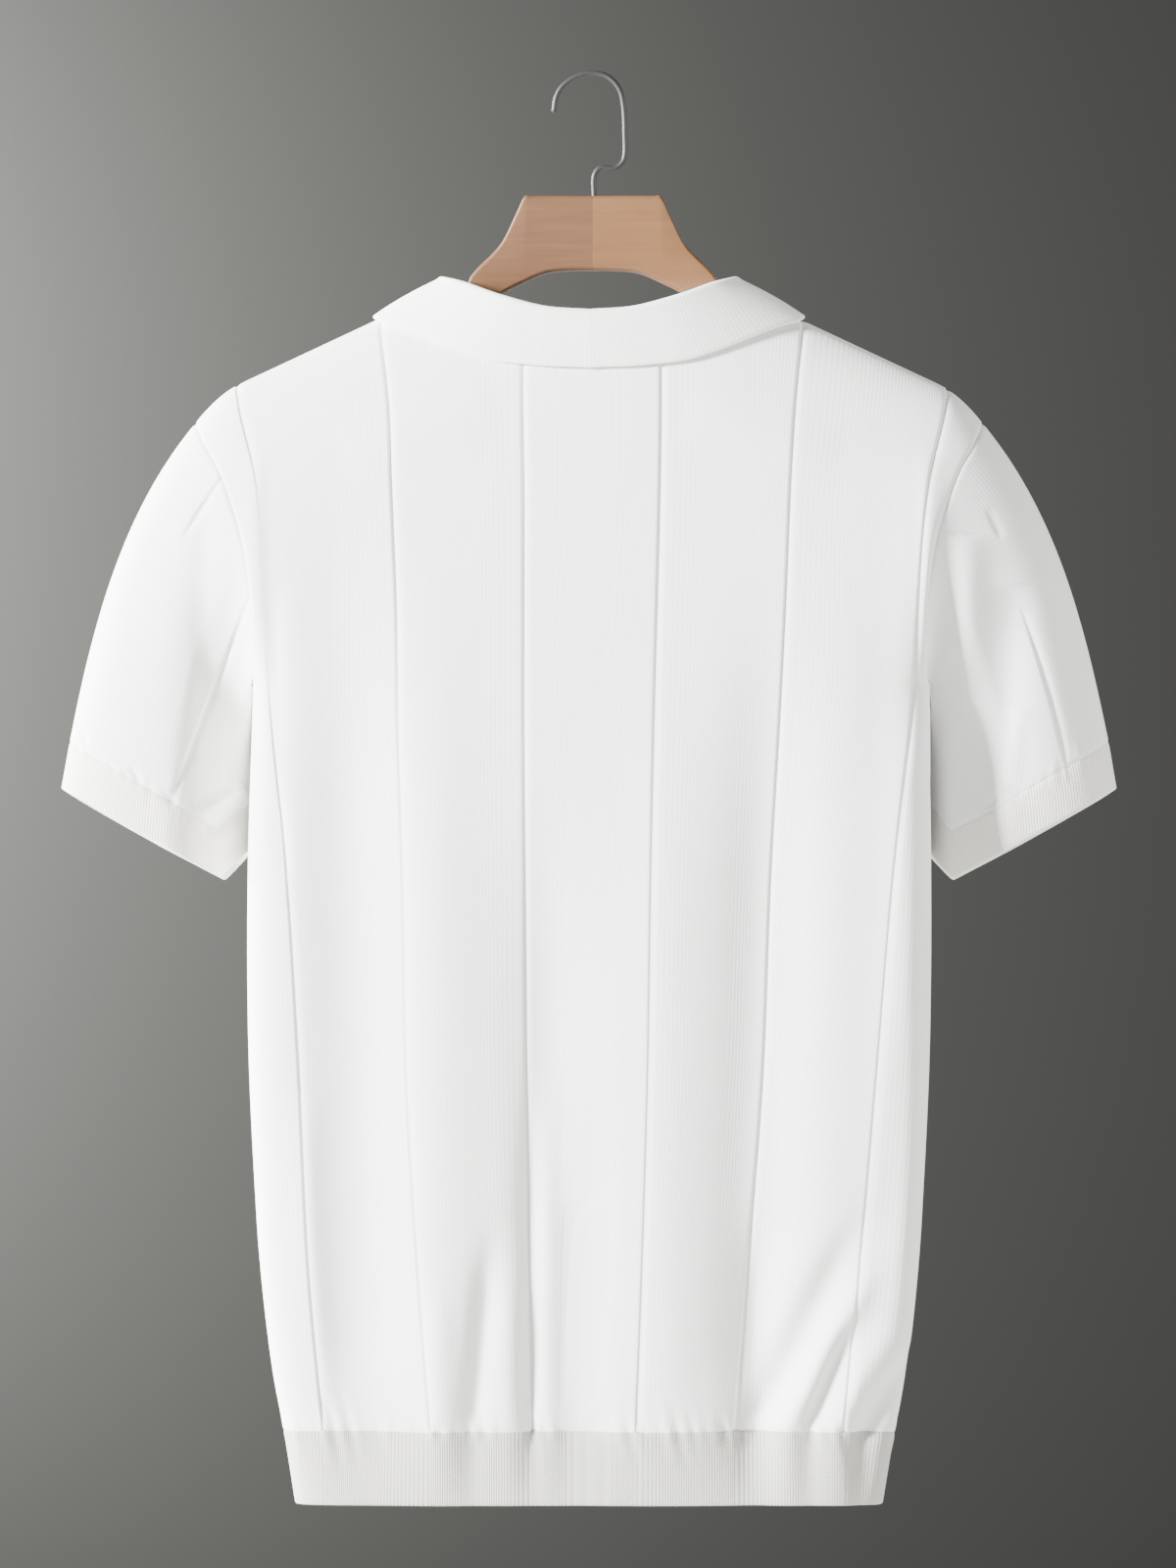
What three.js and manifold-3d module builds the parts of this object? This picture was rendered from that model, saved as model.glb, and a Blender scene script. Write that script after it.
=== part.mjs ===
// A knitted short-sleeve polo shirt, filled out with no wearer and hung on a wooden hanger.
// Millimetres, +Z up. The origin is the inside top of the hanger's hook, where a rail carries it.
// The shirt's back faces -Y, its front faces +Y and the wearer's right side is +X.
import * as THREE from "three";
import { mergeVertices } from "three/addons/utils/BufferGeometryUtils.js";
import Module from "manifold-3d";

// Driving dimensions
const HEM_BELOW_RAIL = 872;
const WAISTBAND_HEIGHT = 44;
const UNDERARM_HEIGHT = 499;
const NECK_HALF_WIDTH = 98;
const NECK_POINT_HEIGHT = 737;
const SHOULDER_SLOPE = 0.4675;
const SHOULDER_BEND_FROM = 213;
const SHOULDER_BEND = 0.0146;
const CUFF_HEIGHT = 28;
const CLOTH = 1.8;
const RIB_CLOTH = 2.2;
const COLLAR_CLOTH = 2;
const SEAM_GAP = 0.3;
const CUFF_SEAM_GAP = 0.5;
const BODY_ROUNDNESS = 6;
const GROOVE_DEPTH = 0.8;
const GROOVE_HALF_WIDTH = 1.7;
const PLACKET_HALF_AT = 0.0625;
const PLACKET_TOP_RISE = 1.985;
const PLACKET_CLEAR = 0.45;
const BUTTON = { radius: 5.5, thickness: 2.6, rim: 0.8, dishRadius: 3.4, dishDepth: 0.5, sides: 16 };
const WIRE_RADIUS = 1.5;
const WIRE_IN_WOOD = 14;
const WOOD_THICKNESS = 14;
const WOOD_EDGE_RADIUS = 3;
const HANGER_ASIDE = 2.4;

const DEGREE = Math.PI / 180;
const HEM_Z = -HEM_BELOW_RAIL;
const SHOULDER_SEAM_TILT = 6 * DEGREE;
const DOME_PASSES = 12;

// The body's level sections: half width, and depth of the back and the front, by height above the hem.
const BODY_SECTIONS = [
  { height: 0, half: 179.5, back: 43, front: 44 },
  { height: 44, half: 186.5, back: 46, front: 47 },
  { height: 79, half: 193, back: 49, front: 51 },
  { height: 127, half: 199, back: 51, front: 53 },
  { height: 175, half: 203, back: 52, front: 54 },
  { height: 283, half: 208, back: 52.5, front: 54.5 },
  { height: 403, half: 208, back: 52, front: 53.5 },
  { height: 499, half: 204, back: 51, front: 51 },
];

// The armhole edge, and the half width of the rounded section that the edge cuts short.
const ARMHOLE_EDGE = [
  { height: 499, edge: 204, round: 204 },
  { height: 534, edge: 204.5, round: 213 },
  { height: 560, edge: 207, round: 224 },
  { height: 585, edge: 211, round: 238 },
  { height: 610, edge: 218.5, round: 250 },
  { height: 630, edge: 226.5, round: 257 },
  { height: 645, edge: 235, round: 262 },
  { height: 658, edge: 241, round: 265 },
  { height: 680, edge: 249, round: 270 },
  { height: 760, edge: 275, round: 285 },
];

// The six long grooves knitted into each panel, from the left side to the right side.
const GROOVES = [
  { height: 44, g0: -162.3, g1: -96.3, g2: -34.5, g3: 28.5, g4: 88.5, g5: 154 },
  { height: 139, g0: -170.7, g1: -103.5, g2: -37, g3: 32.1, g4: 95.7, g5: 164 },
  { height: 259, g0: -176.7, g1: -110.7, g2: -38.7, g3: 35.7, g4: 105.3, g5: 174.3 },
  { height: 379, g0: -184, g1: -113.1, g2: -39.3, g3: 37.5, g4: 110.1, g5: 184 },
  { height: 475, g0: -193.5, g1: -116.1, g2: -39.9, g3: 39.3, g4: 115.5, g5: 193.5 },
  { height: 547, g0: -197.7, g1: -117.3, g2: -39.9, g3: 41.1, g4: 119.1, g5: 199 },
  { height: 619, g0: -202, g1: -120.3, g2: -39.9, g3: 42.9, g4: 122.1, g5: 206 },
  { height: 667, g0: -213.3, g1: -122.1, g2: -40.5, g3: 43.5, g4: 125.1, g5: 217 },
  { height: 715, g0: -221, g1: -127.5, g2: -40.5, g3: 43.5, g4: 129.9, g5: 223 },
];
const GROOVE_AT = [-5 / 6, -1 / 2, -1 / 6, 1 / 6, 1 / 2, 5 / 6];
const NECK_AT = 7 / 18;
const NECK_SHARE_BETWEEN_GROOVES = 2 / 3;
const NECK_SETTLES = { from: 600, over: 110 };

// How far over its dome each panel's neckline is cut, in degrees from the underarm.
const NECK_CUT = {
  back: { middle: 52, power: 2.6, fall: 1 },
  front: { middle: 35, power: 2.4, fall: 0.9 },
};

// A panel's columns between its edges and grooves, and its rows: 1 is the underarm, 2 the top edge.
const COLUMN_STEPS = [4, 4, 3, 3, 3, 4, 4];
const GROOVE_FOOT = GROOVE_HALF_WIDTH / 240;
const PANEL_RISES = [0, 0.04, 0.1, 0.18, 0.28, 0.4, 0.53, 0.66, 0.78, 0.88, 0.96, 1,
  1.06, 1.13, 1.22, 1.32, 1.42, 1.52, 1.62, 1.72, 1.81, 1.89, 1.95, 2];
const WAISTBAND_LEVELS = [0, 12, 28, WAISTBAND_HEIGHT];

// The largest folds of the hanging cloth: a soft line from its upper to its lower end, how far it spreads
// to each side, and how far it stands out (or sinks, if negative).
const FOLD = { grownBy: 0.45, easedAt: 0.9, easedBy: 0.35, atHem: 0.3, sideMargin: 0.08 };
const BACK_FOLDS = [
  { fromX: -162, fromHeight: 680, toX: -150, toHeight: 46, spread: 26, out: -8.5 },
  { fromX: -98, fromHeight: 600, toX: -100, toHeight: 46, spread: 24, out: 3 },
  { fromX: -27, fromHeight: 470, toX: -20, toHeight: 46, spread: 26, out: -6.5 },
  { fromX: 45, fromHeight: 560, toX: 43, toHeight: 46, spread: 22, out: 2.5 },
  { fromX: 114, fromHeight: 600, toX: 99, toHeight: 46, spread: 27, out: -8.5 },
  { fromX: 203, fromHeight: 700, toX: 188, toHeight: 46, spread: 15, out: 5 },
  { fromX: -71, fromHeight: 100, toX: -81, toHeight: 44, spread: 6, out: -4.5 },
  { fromX: -56, fromHeight: 112, toX: -56, toHeight: 44, spread: 7, out: 3 },
  { fromX: -8, fromHeight: 150, toX: -13, toHeight: 44, spread: 9, out: -4 },
  { fromX: 104, fromHeight: 190, toX: 97, toHeight: 44, spread: 12, out: -3 },
  { fromX: 166, fromHeight: 160, toX: 102, toHeight: 46, spread: 11, out: -5.5 },
  { fromX: 178, fromHeight: 140, toX: 119, toHeight: 46, spread: 9, out: 3.5 },
  { fromX: 180, fromHeight: 106, toX: 151, toHeight: 44, spread: 8, out: 3.5 },
  { fromX: 197, fromHeight: 96, toX: 166, toHeight: 38, spread: 6, out: -6 },
];
const FRONT_FOLDS = [
  { fromX: 158, fromHeight: 660, toX: 148, toHeight: 46, spread: 26, out: -8 },
  { fromX: 92, fromHeight: 580, toX: 95, toHeight: 46, spread: 24, out: 3 },
  { fromX: 30, fromHeight: 440, toX: 22, toHeight: 46, spread: 26, out: -6 },
  { fromX: -46, fromHeight: 540, toX: -46, toHeight: 46, spread: 22, out: 2.5 },
  { fromX: -113, fromHeight: 600, toX: -99, toHeight: 46, spread: 27, out: -8 },
  { fromX: -199, fromHeight: 380, toX: -188, toHeight: 46, spread: 15, out: 5 },
  { fromX: 72, fromHeight: 108, toX: 80, toHeight: 44, spread: 7, out: -4 },
  { fromX: 8, fromHeight: 150, toX: 12, toHeight: 44, spread: 10, out: -3.5 },
  { fromX: -160, fromHeight: 150, toX: -106, toHeight: 46, spread: 11, out: -5 },
  { fromX: -172, fromHeight: 124, toX: -128, toHeight: 46, spread: 9, out: 3 },
];

// A sleeve's open end, seen from above: how far out its middle lies, its half size across and from back to
// front, and how far its inner end is pushed to the front past the body.
const CUFF_OPENING = { out: 263.2, halfAcross: 60.2, middleY: 12, halfDeep: 32, roundness: 2.6 };
const CUFF_PUSHED = { by: 30, from: 262, over: 59 };
const CUFF_EDGE = {
  outerHeight: 436,
  lowestHeight: 382,
  lowestOut: 225.6,
  innerHeight: 403,
  frontLower: 2.5,
};

// The directions in which a sleeve leaves the armhole and arrives at its cuff. out is away from the body.
const SLEEVE_LEAVES = {
  shoulder: { out: 0.64, forward: 0, up: -0.77 },
  middle: { out: 0.8, forward: 0.12, up: -0.6 },
  underarm: { out: 0.13, forward: 0.85, up: -0.5 },
};
const SLEEVE_ARRIVES = {
  outer: { out: 0.18, forward: 0, up: -0.98 },
  inner: { out: -0.05, forward: 0.3, up: -0.95 },
};
const ARMHOLE_CLEAR = { past: 0.6, outAtUnderarm: 0.45 };
const SLEEVE_CURVE_REACH = 0.34;
const SLEEVE_GROOVE_RISES = [1.72, 1.22];
const SLEEVE_ROWS = [0, 0.05, 0.12, 0.21, 0.31, 0.42, 0.53, 0.64, 0.74, 0.83, 0.91, 1];
const CUFF_ROWS = [0, 0.35, 0.7, 1];

// The collar from the middle of the back (at 0) round to its front end (at 1): its folded top, and its free
// edge, which lies on the body: how far across, and how far over the shoulder from the back in degrees.
const COLLAR_SECTIONS = [
  { at: 0, foldX: 0, foldY: -36, foldHeight: 727.2, edgeX: 0, edgeOver: 47.7 },
  { at: 0.12, foldX: 27, foldY: -35.3, foldHeight: 729.3, edgeX: 32, edgeOver: 48.8 },
  { at: 0.25, foldX: 55, foldY: -31, foldHeight: 736.8, edgeX: 66, edgeOver: 52.8 },
  { at: 0.36, foldX: 76, foldY: -21.5, foldHeight: 744.6, edgeX: 97, edgeOver: 62.2 },
  { at: 0.45, foldX: 88, foldY: -9.5, foldHeight: 748, edgeX: 124, edgeOver: 77 },
  { at: 0.5, foldX: 90, foldY: 0, foldHeight: 748.5, edgeX: 130, edgeOver: 87 },
  { at: 0.6, foldX: 84, foldY: 15, foldHeight: 744, edgeX: 124, edgeOver: 104 },
  { at: 0.7, foldX: 70, foldY: 27, foldHeight: 731, edgeX: 108, edgeOver: 119 },
  { at: 0.8, foldX: 50, foldY: 37, foldHeight: 713, edgeX: 90, edgeOver: 130 },
  { at: 0.9, foldX: 27, foldY: 44, foldHeight: 692, edgeX: 75, edgeOver: 138 },
  { at: 1, foldX: 5, foldY: 48, foldHeight: 672, edgeX: 62, edgeOver: 143.5 },
];
const COLLAR_COLUMNS = 44;
const COLLAR_SIDE_AT = 0.46;
const COLLAR_FOLD_RADIUS = 1.3;
const COLLAR_LIFT = 1.4;
const COLLAR_SEAM_CLEAR = 1.2;
const COLLAR_SEAM_RISE = 1.8;
const COLLAR_ENDS_AT = 0.985;
const COLLAR_STEP = 0.004;
const COLLAR_STAND_ROW = 0.55;
const COLLAR_FALL_ROWS = [0.35, 0.7, 1];
const COLLAR_FALL_BULGE = 1;
const COLLAR_CORNER_AT = 0.5;
const COLLAR_CORNER_RISE = 3;
const COLLAR_CORNER_SPREAD = 0.08;

const PLACKET_COLUMNS = [-1, -0.33, 0.33, 1];
const BUTTON_HEIGHTS = [634, 581, 528];

// The hanger's outline on one side: its hump's upper edge down to the neck, and the arch of its underside.
const HUMP_TOP_Z = -74.1;
const HUMP_SIDE = [
  { out: 0, z: HUMP_TOP_Z },
  { out: 38, z: HUMP_TOP_Z },
  { out: 42, z: -74.6 },
  { out: 46, z: -83 },
  { out: 56, z: -103 },
  { out: 75, z: -123.8 },
  { out: 77.5, z: -133.5 },
  { out: 81.5, z: -145.5 },
  { out: 93, z: -147.5 },
];
const HANGER_ARCH = [
  { out: 0, z: -119.9 },
  { out: 11, z: -119.9 },
  { out: 28, z: -121.5 },
  { out: 45, z: -128.7 },
  { out: 56, z: -134.7 },
  { out: 70, z: -147 },
  { out: 84, z: -160 },
];
const HANGER_ARM = { from: 112, to: 211, heightAtNeck: 24, heightAtEnd: 17, belowCloth: 4.15 };
const HANGER_STATIONS = [SEAM_GAP / 2, 20, 34, 41, 43, 46, 51, 58, 67, 75, 77.5, 81.5, 93,
  112, 137, 162, 187, 211];
const HANGER_END = [
  { past: 4, drop: 3.5, rise: 1.5 },
  { past: 6.5, drop: 7, rise: 3.8 },
];

// The hook's wire, from the wood up to its free end.
const HOOK_LINE = [
  { x: 0.8, z: -74.1 },
  { x: 0.8, z: -62 },
  { x: 4.2, z: -57 },
  { x: 14.2, z: -56.6 },
  { x: 19.2, z: -51 },
  { x: 19.6, z: -36 },
  { x: 18.9, z: -20 },
  { x: 16.2, z: -8.6 },
  { x: 9.4, z: -1 },
  { x: 0, z: 1.5 },
  { x: -10, z: -0.8 },
  { x: -18.4, z: -6.6 },
  { x: -22.4, z: -13.4 },
  { x: -23.8, z: -21.5 },
];

// Turns a table into a smooth curve and reads one column of it.
function read(rows, key, column, at) {
  const last = rows.length - 1;
  if (at <= rows[0][key]) return rows[0][column];
  if (at >= rows[last][key]) return rows[last][column];
  let i = 0;
  while (at > rows[i + 1][key]) i += 1;
  const slope = (k) => {
    const a = rows[Math.max(k - 1, 0)];
    const b = rows[Math.min(k + 1, last)];
    return (b[column] - a[column]) / (b[key] - a[key]);
  };
  const span = rows[i + 1][key] - rows[i][key];
  const s = (at - rows[i][key]) / span;
  const rise = rows[i + 1][column] - rows[i][column];
  const start = slope(i) * span;
  const end = slope(i + 1) * span;
  const bend = (3 * rise - 2 * start - end) * s ** 2;
  return rows[i][column] + start * s + bend + (start + end - 2 * rise) * s ** 3;
}

const mix = (a, b, s) => a + (b - a) * s;
const clamp01 = (s) => Math.min(1, Math.max(0, s));
const ease = (s) => clamp01(s) ** 2 * (3 - 2 * clamp01(s));

// Height of the shoulder's top line above the hem, carried on across the neck.
function shoulderTop(x) {
  const away = Math.abs(x);
  if (away < NECK_HALF_WIDTH) {
    const crown = (SHOULDER_SLOPE * NECK_HALF_WIDTH) / 2;
    return NECK_POINT_HEIGHT + crown * (1 - (away / NECK_HALF_WIDTH) ** 2);
  }
  const bend = SHOULDER_BEND * Math.max(0, away - SHOULDER_BEND_FROM) ** 2;
  return NECK_POINT_HEIGHT - SHOULDER_SLOPE * (away - NECK_HALF_WIDTH) - bend;
}

// How far over its dome a panel reaches: to the shoulder seam, just behind the top line, or to the neckline.
function domeEnd(side, x) {
  const seam = Math.PI / 2 + side * SHOULDER_SEAM_TILT;
  const away = Math.abs(x) / NECK_HALF_WIDTH;
  if (away >= 1) return seam;
  const cut = side < 0 ? NECK_CUT.back : NECK_CUT.front;
  return seam - (seam - cut.middle * DEGREE) * (1 - away ** cut.power) ** cut.fall;
}

// Half the width of the body's section at a height. Above the underarm, column is "edge" or "round".
function halfWidth(column, height) {
  if (height < UNDERARM_HEIGHT) return read(BODY_SECTIONS, "height", "half", height);
  return read(ARMHOLE_EDGE, "height", column, height);
}

// Where a line of the cloth lies across the body: u runs from -1 at the left edge to 1 at the right edge.
function acrossAt(u, height) {
  const round = halfWidth("round", height);
  const edge = halfWidth("edge", height);
  const grooves = GROOVE_AT.map((at, i) => [at, read(GROOVES, "height", "g" + i, height)]);
  const settle = ease((height - NECK_SETTLES.from) / NECK_SETTLES.over);
  const neck = (inner, outer, sign) => {
    const below = mix(inner[1], outer[1], NECK_SHARE_BETWEEN_GROOVES);
    return mix(below, sign * NECK_HALF_WIDTH, settle);
  };
  const marks = [
    [-1, -edge],
    grooves[0],
    grooves[1],
    [-NECK_AT, neck(grooves[2], grooves[1], -1)],
    grooves[2],
    grooves[3],
    [NECK_AT, neck(grooves[3], grooves[4], 1)],
    grooves[4],
    grooves[5],
    [1, edge],
  ];
  const angle = (x) => Math.sign(x) * Math.asin(Math.min(1, Math.abs(x) / round) ** (BODY_ROUNDNESS / 2));
  let i = 0;
  while (i < marks.length - 2 && u > marks[i + 1][0]) i += 1;
  const share = (u - marks[i][0]) / (marks[i + 1][0] - marks[i][0]);
  const turn = mix(angle(marks[i][1]), angle(marks[i + 1][1]), share);
  return {
    x: Math.sign(turn) * round * Math.abs(Math.sin(turn)) ** (2 / BODY_ROUNDNESS),
    bulge: Math.max(0, Math.cos(turn)) ** (2 / BODY_ROUNDNESS),
  };
}

// A point of the smooth body. side is -1 for the back and 1 for the front; rise runs from 0 at the
// waistband seam to 1 at the underarm, and on to 2 at the shoulder seam or the neckline.
function bodyPoint(side, u, rise, from = WAISTBAND_HEIGHT + SEAM_GAP) {
  const level = mix(from, UNDERARM_HEIGHT, Math.min(rise, 1));
  let height = level;
  let place = acrossAt(u, height);
  let dome = 0;
  for (let pass = 0; rise > 1 && pass < DOME_PASSES; pass += 1) {
    dome = (rise - 1) * domeEnd(side, place.x);
    height = UNDERARM_HEIGHT + (shoulderTop(place.x) - UNDERARM_HEIGHT) * Math.sin(dome);
    place = acrossAt(u, height);
  }
  const deep = read(BODY_SECTIONS, "height", side < 0 ? "back" : "front", level);
  const depth = deep * Math.cos(dome) * place.bulge;
  return new THREE.Vector3(place.x, side * (depth + SEAM_GAP / 2), HEM_Z + height);
}

// How far the folds move the cloth out at a place on a panel.
function foldOut(side, point, u) {
  const height = point.z - HEM_Z;
  let out = 0;
  for (const fold of side < 0 ? BACK_FOLDS : FRONT_FOLDS) {
    const share = (fold.fromHeight - height) / (fold.fromHeight - fold.toHeight);
    const easing = FOLD.easedBy * ease((share - FOLD.easedAt) / (1 - FOLD.easedAt));
    const strength = ease(share / FOLD.grownBy) * (1 - easing);
    const away = (point.x - mix(fold.fromX, fold.toX, clamp01(share))) / fold.spread;
    if (share > 0) out += fold.out * strength * Math.exp(-away * away);
  }
  return out * ease((1 - Math.abs(u)) / FOLD.sideMargin);
}

// The body's outward direction, from its points close by.
function bodyNormal(side, u, rise) {
  const step = 1e-3;
  const at = Math.min(1 - 1.5 * step, Math.max(1.5 * step - 1, u));
  const level = Math.min(2 - 2 * step, Math.max(2 * step, rise));
  const across = bodyPoint(side, at + step, level).sub(bodyPoint(side, at - step, level));
  const along = bodyPoint(side, at, level + step).sub(bodyPoint(side, at, level - step));
  return across.cross(along).multiplyScalar(-side).normalize();
}

// Closed mesh of a wall between two grids of points, rows by columns. A tube's columns close in a ring.
function wall(outer, inner, isTube = false) {
  const rows = outer.length;
  const columns = outer[0].length;
  const positions = [outer, inner].flat(2).flatMap((p) => [p.x, p.y, p.z]);
  const outside = (r, c) => r * columns + (c % columns);
  const inside = (r, c) => rows * columns + outside(r, c);
  const index = [];
  const quad = (a, b, c, d) => index.push(a, b, c, a, c, d);
  const across = isTube ? columns : columns - 1;
  for (let r = 0; r < rows - 1; r += 1) {
    for (let c = 0; c < across; c += 1) {
      quad(outside(r, c), outside(r, c + 1), outside(r + 1, c + 1), outside(r + 1, c));
      quad(inside(r, c), inside(r + 1, c), inside(r + 1, c + 1), inside(r, c + 1));
    }
  }
  for (let c = 0; c < across; c += 1) {
    quad(outside(0, c), inside(0, c), inside(0, c + 1), outside(0, c + 1));
    quad(outside(rows - 1, c), outside(rows - 1, c + 1), inside(rows - 1, c + 1), inside(rows - 1, c));
  }
  for (let r = 0; !isTube && r < rows - 1; r += 1) {
    quad(outside(r, 0), outside(r + 1, 0), inside(r + 1, 0), inside(r, 0));
    quad(outside(r, across), inside(r, across), inside(r + 1, across), outside(r + 1, across));
  }
  const geometry = new THREE.BufferGeometry();
  geometry.setAttribute("position", new THREE.Float32BufferAttribute(positions, 3));
  geometry.setIndex(index);
  return facingOut(geometry);
}

// Turns a closed mesh's faces round if they point inwards.
function facingOut(geometry) {
  const p = geometry.getAttribute("position");
  const index = Array.from(geometry.index.array);
  const at = (i) => new THREE.Vector3().fromBufferAttribute(p, index[i]);
  let volume = 0;
  for (let i = 0; i < index.length; i += 3) volume += at(i).dot(at(i + 1).cross(at(i + 2)));
  if (volume < 0) geometry.setIndex(index.reverse());
  return geometry;
}

const wasm = await Module();
wasm.setup();

function toSolid(geometry) {
  const bare = new THREE.BufferGeometry();
  bare.setAttribute("position", geometry.getAttribute("position"));
  bare.setIndex(geometry.index);
  const merged = mergeVertices(bare, 1e-4);
  const mesh = new wasm.Mesh({
    numProp: 3,
    vertProperties: new Float32Array(merged.getAttribute("position").array),
    triVerts: new Uint32Array(merged.index.array),
  });
  return new wasm.Manifold(mesh);
}

const toClosed = (geometry) => fromSolid(toSolid(geometry));

function fromSolid(solid) {
  const mesh = solid.getMesh();
  const geometry = new THREE.BufferGeometry();
  geometry.setAttribute("position", new THREE.BufferAttribute(new Float32Array(mesh.vertProperties), 3));
  geometry.setIndex(new THREE.BufferAttribute(new Uint32Array(mesh.triVerts), 1));
  return geometry;
}

const hangingShirt = new THREE.Group();
const garment = new THREE.Group();
const hanger = new THREE.Group();
garment.position.x = -HANGER_ASIDE;
hangingShirt.add(garment, hanger);

function add(name, geometry, color, roughness, metalness = 0, group = garment) {
  const mesh = new THREE.Mesh(geometry, new THREE.MeshStandardMaterial({ color, roughness, metalness }));
  mesh.name = name;
  group.add(mesh);
  return mesh;
}

const KNIT_COLOR = 0xf2f1ee;
const RIB_COLOR = 0xe9e7e2;
const KNIT_ROUGHNESS = 0.85;
const BUTTON_COLOR = 0xe6e3dc;
const WOOD_LEFT_COLOR = 0xb08e75;
const WOOD_RIGHT_COLOR = 0xbb967c;
const WOOD_ROUGHNESS = 0.5;
const STEEL_COLOR = 0x9a9b98;

// The body's front and back panels

// Columns of a panel: close together at each groove, and where the sides turn.
function panelColumns(withGrooves) {
  const marks = [-1, ...GROOVE_AT, 1];
  const columns = [{ u: -1, groove: false }];
  for (let i = 0; i < marks.length - 1; i += 1) {
    for (let k = 1; k <= COLUMN_STEPS[i]; k += 1) {
      const isGroove = k === COLUMN_STEPS[i] && i < GROOVE_AT.length;
      const u = mix(marks[i], marks[i + 1], k / COLUMN_STEPS[i]);
      if (isGroove && withGrooves) columns.push({ u: u - GROOVE_FOOT, groove: false });
      columns.push({ u, groove: isGroove });
      if (isGroove && withGrooves) columns.push({ u: u + GROOVE_FOOT, groove: false });
    }
  }
  return columns;
}

function panel(side, columns, rises, thickness) {
  const outer = [];
  const inner = [];
  for (const rise of rises) {
    const outerRow = [];
    const innerRow = [];
    for (const { u, groove } of columns) {
      const point = bodyPoint(side, u, rise);
      const normal = bodyNormal(side, u, rise);
      if (Math.abs(u) === 1 && rise <= 1) normal.set(u, 0, 0);
      point.addScaledVector(normal, foldOut(side, point, u));
      innerRow.push(point.clone().addScaledVector(normal, -thickness));
      outerRow.push(point.addScaledVector(normal, groove ? -GROOVE_DEPTH : 0));
    }
    outer.push(outerRow);
    inner.push(innerRow);
  }
  return { outer, inner };
}

const backPanel = panel(-1, panelColumns(true), PANEL_RISES, CLOTH);
const frontPanel = panel(1, panelColumns(true), PANEL_RISES, CLOTH);
add("back", wall(backPanel.outer, backPanel.inner), KNIT_COLOR, KNIT_ROUGHNESS);
add("front", wall(frontPanel.outer, frontPanel.inner), KNIT_COLOR, KNIT_ROUGHNESS);

// The waistband, a ribbed strip sewn under each panel

function waistband(side) {
  const columns = panelColumns(false);
  const point = (u, height) => bodyPoint(side, u, 0, height);
  const rows = WAISTBAND_LEVELS.map((height) =>
    columns.map(({ u }) => {
      const here = point(u, height);
      const normal = Math.abs(u) === 1 ? new THREE.Vector3(u, 0, 0) : bandNormal(point, u, height, side);
      const settle = mix(FOLD.atHem, 1, height / WAISTBAND_HEIGHT);
      here.addScaledVector(normal, foldOut(side, here, u) * settle);
      return { here, normal };
    }),
  );
  const layer = (out) => rows.map((row) =>
    row.map(({ here, normal }) => here.clone().addScaledVector(normal, out)),
  );
  return wall(layer(0), layer(-RIB_CLOTH));
}

function bandNormal(point, u, height, side) {
  const across = point(u + 1e-3, height).sub(point(u - 1e-3, height));
  const up = point(u, height + 0.5).sub(point(u, height - 0.5));
  return across.cross(up).multiplyScalar(-side).normalize();
}

add("waistband_back", waistband(-1), RIB_COLOR, KNIT_ROUGHNESS);
add("waistband_front", waistband(1), RIB_COLOR, KNIT_ROUGHNESS);

// Sleeves and cuffs

// Outward directions at the points of a grid of rows by columns.
function gridNormals(grid, isTube) {
  const rows = grid.length;
  const columns = grid[0].length;
  const column = (c) => (isTube ? (c + columns) % columns : Math.min(columns - 1, Math.max(0, c)));
  return grid.map((row, r) =>
    row.map((point, c) => {
      const across = row[column(c + 1)].clone().sub(row[column(c - 1)]);
      const along = grid[Math.min(rows - 1, r + 1)][c].clone().sub(grid[Math.max(0, r - 1)][c]);
      return across.cross(along).normalize();
    }),
  );
}

function direction({ out, forward, up }, hand) {
  return new THREE.Vector3(hand * out, forward, up);
}

// A point of the armhole's edge on a panel, with the body's outward direction and the way on past the edge.
function armholePoint(side, hand, rise) {
  const at = (r) => bodyPoint(side, hand, r);
  const point = at(rise);
  const normal = bodyNormal(side, hand, rise);
  const along = at(rise + 0.01).sub(at(rise - 0.01));
  const past = along.cross(normal).normalize();
  const inside = bodyPoint(side, hand * 0.97, rise);
  if (past.dot(point.clone().sub(inside)) < 0) past.negate();
  return { point, normal, past };
}

function middleOf(a, b) {
  const half = (key) => a[key].clone().add(b[key]).multiplyScalar(0.5);
  return { point: half("point"), normal: half("normal").normalize(), past: half("past").normalize() };
}

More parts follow.
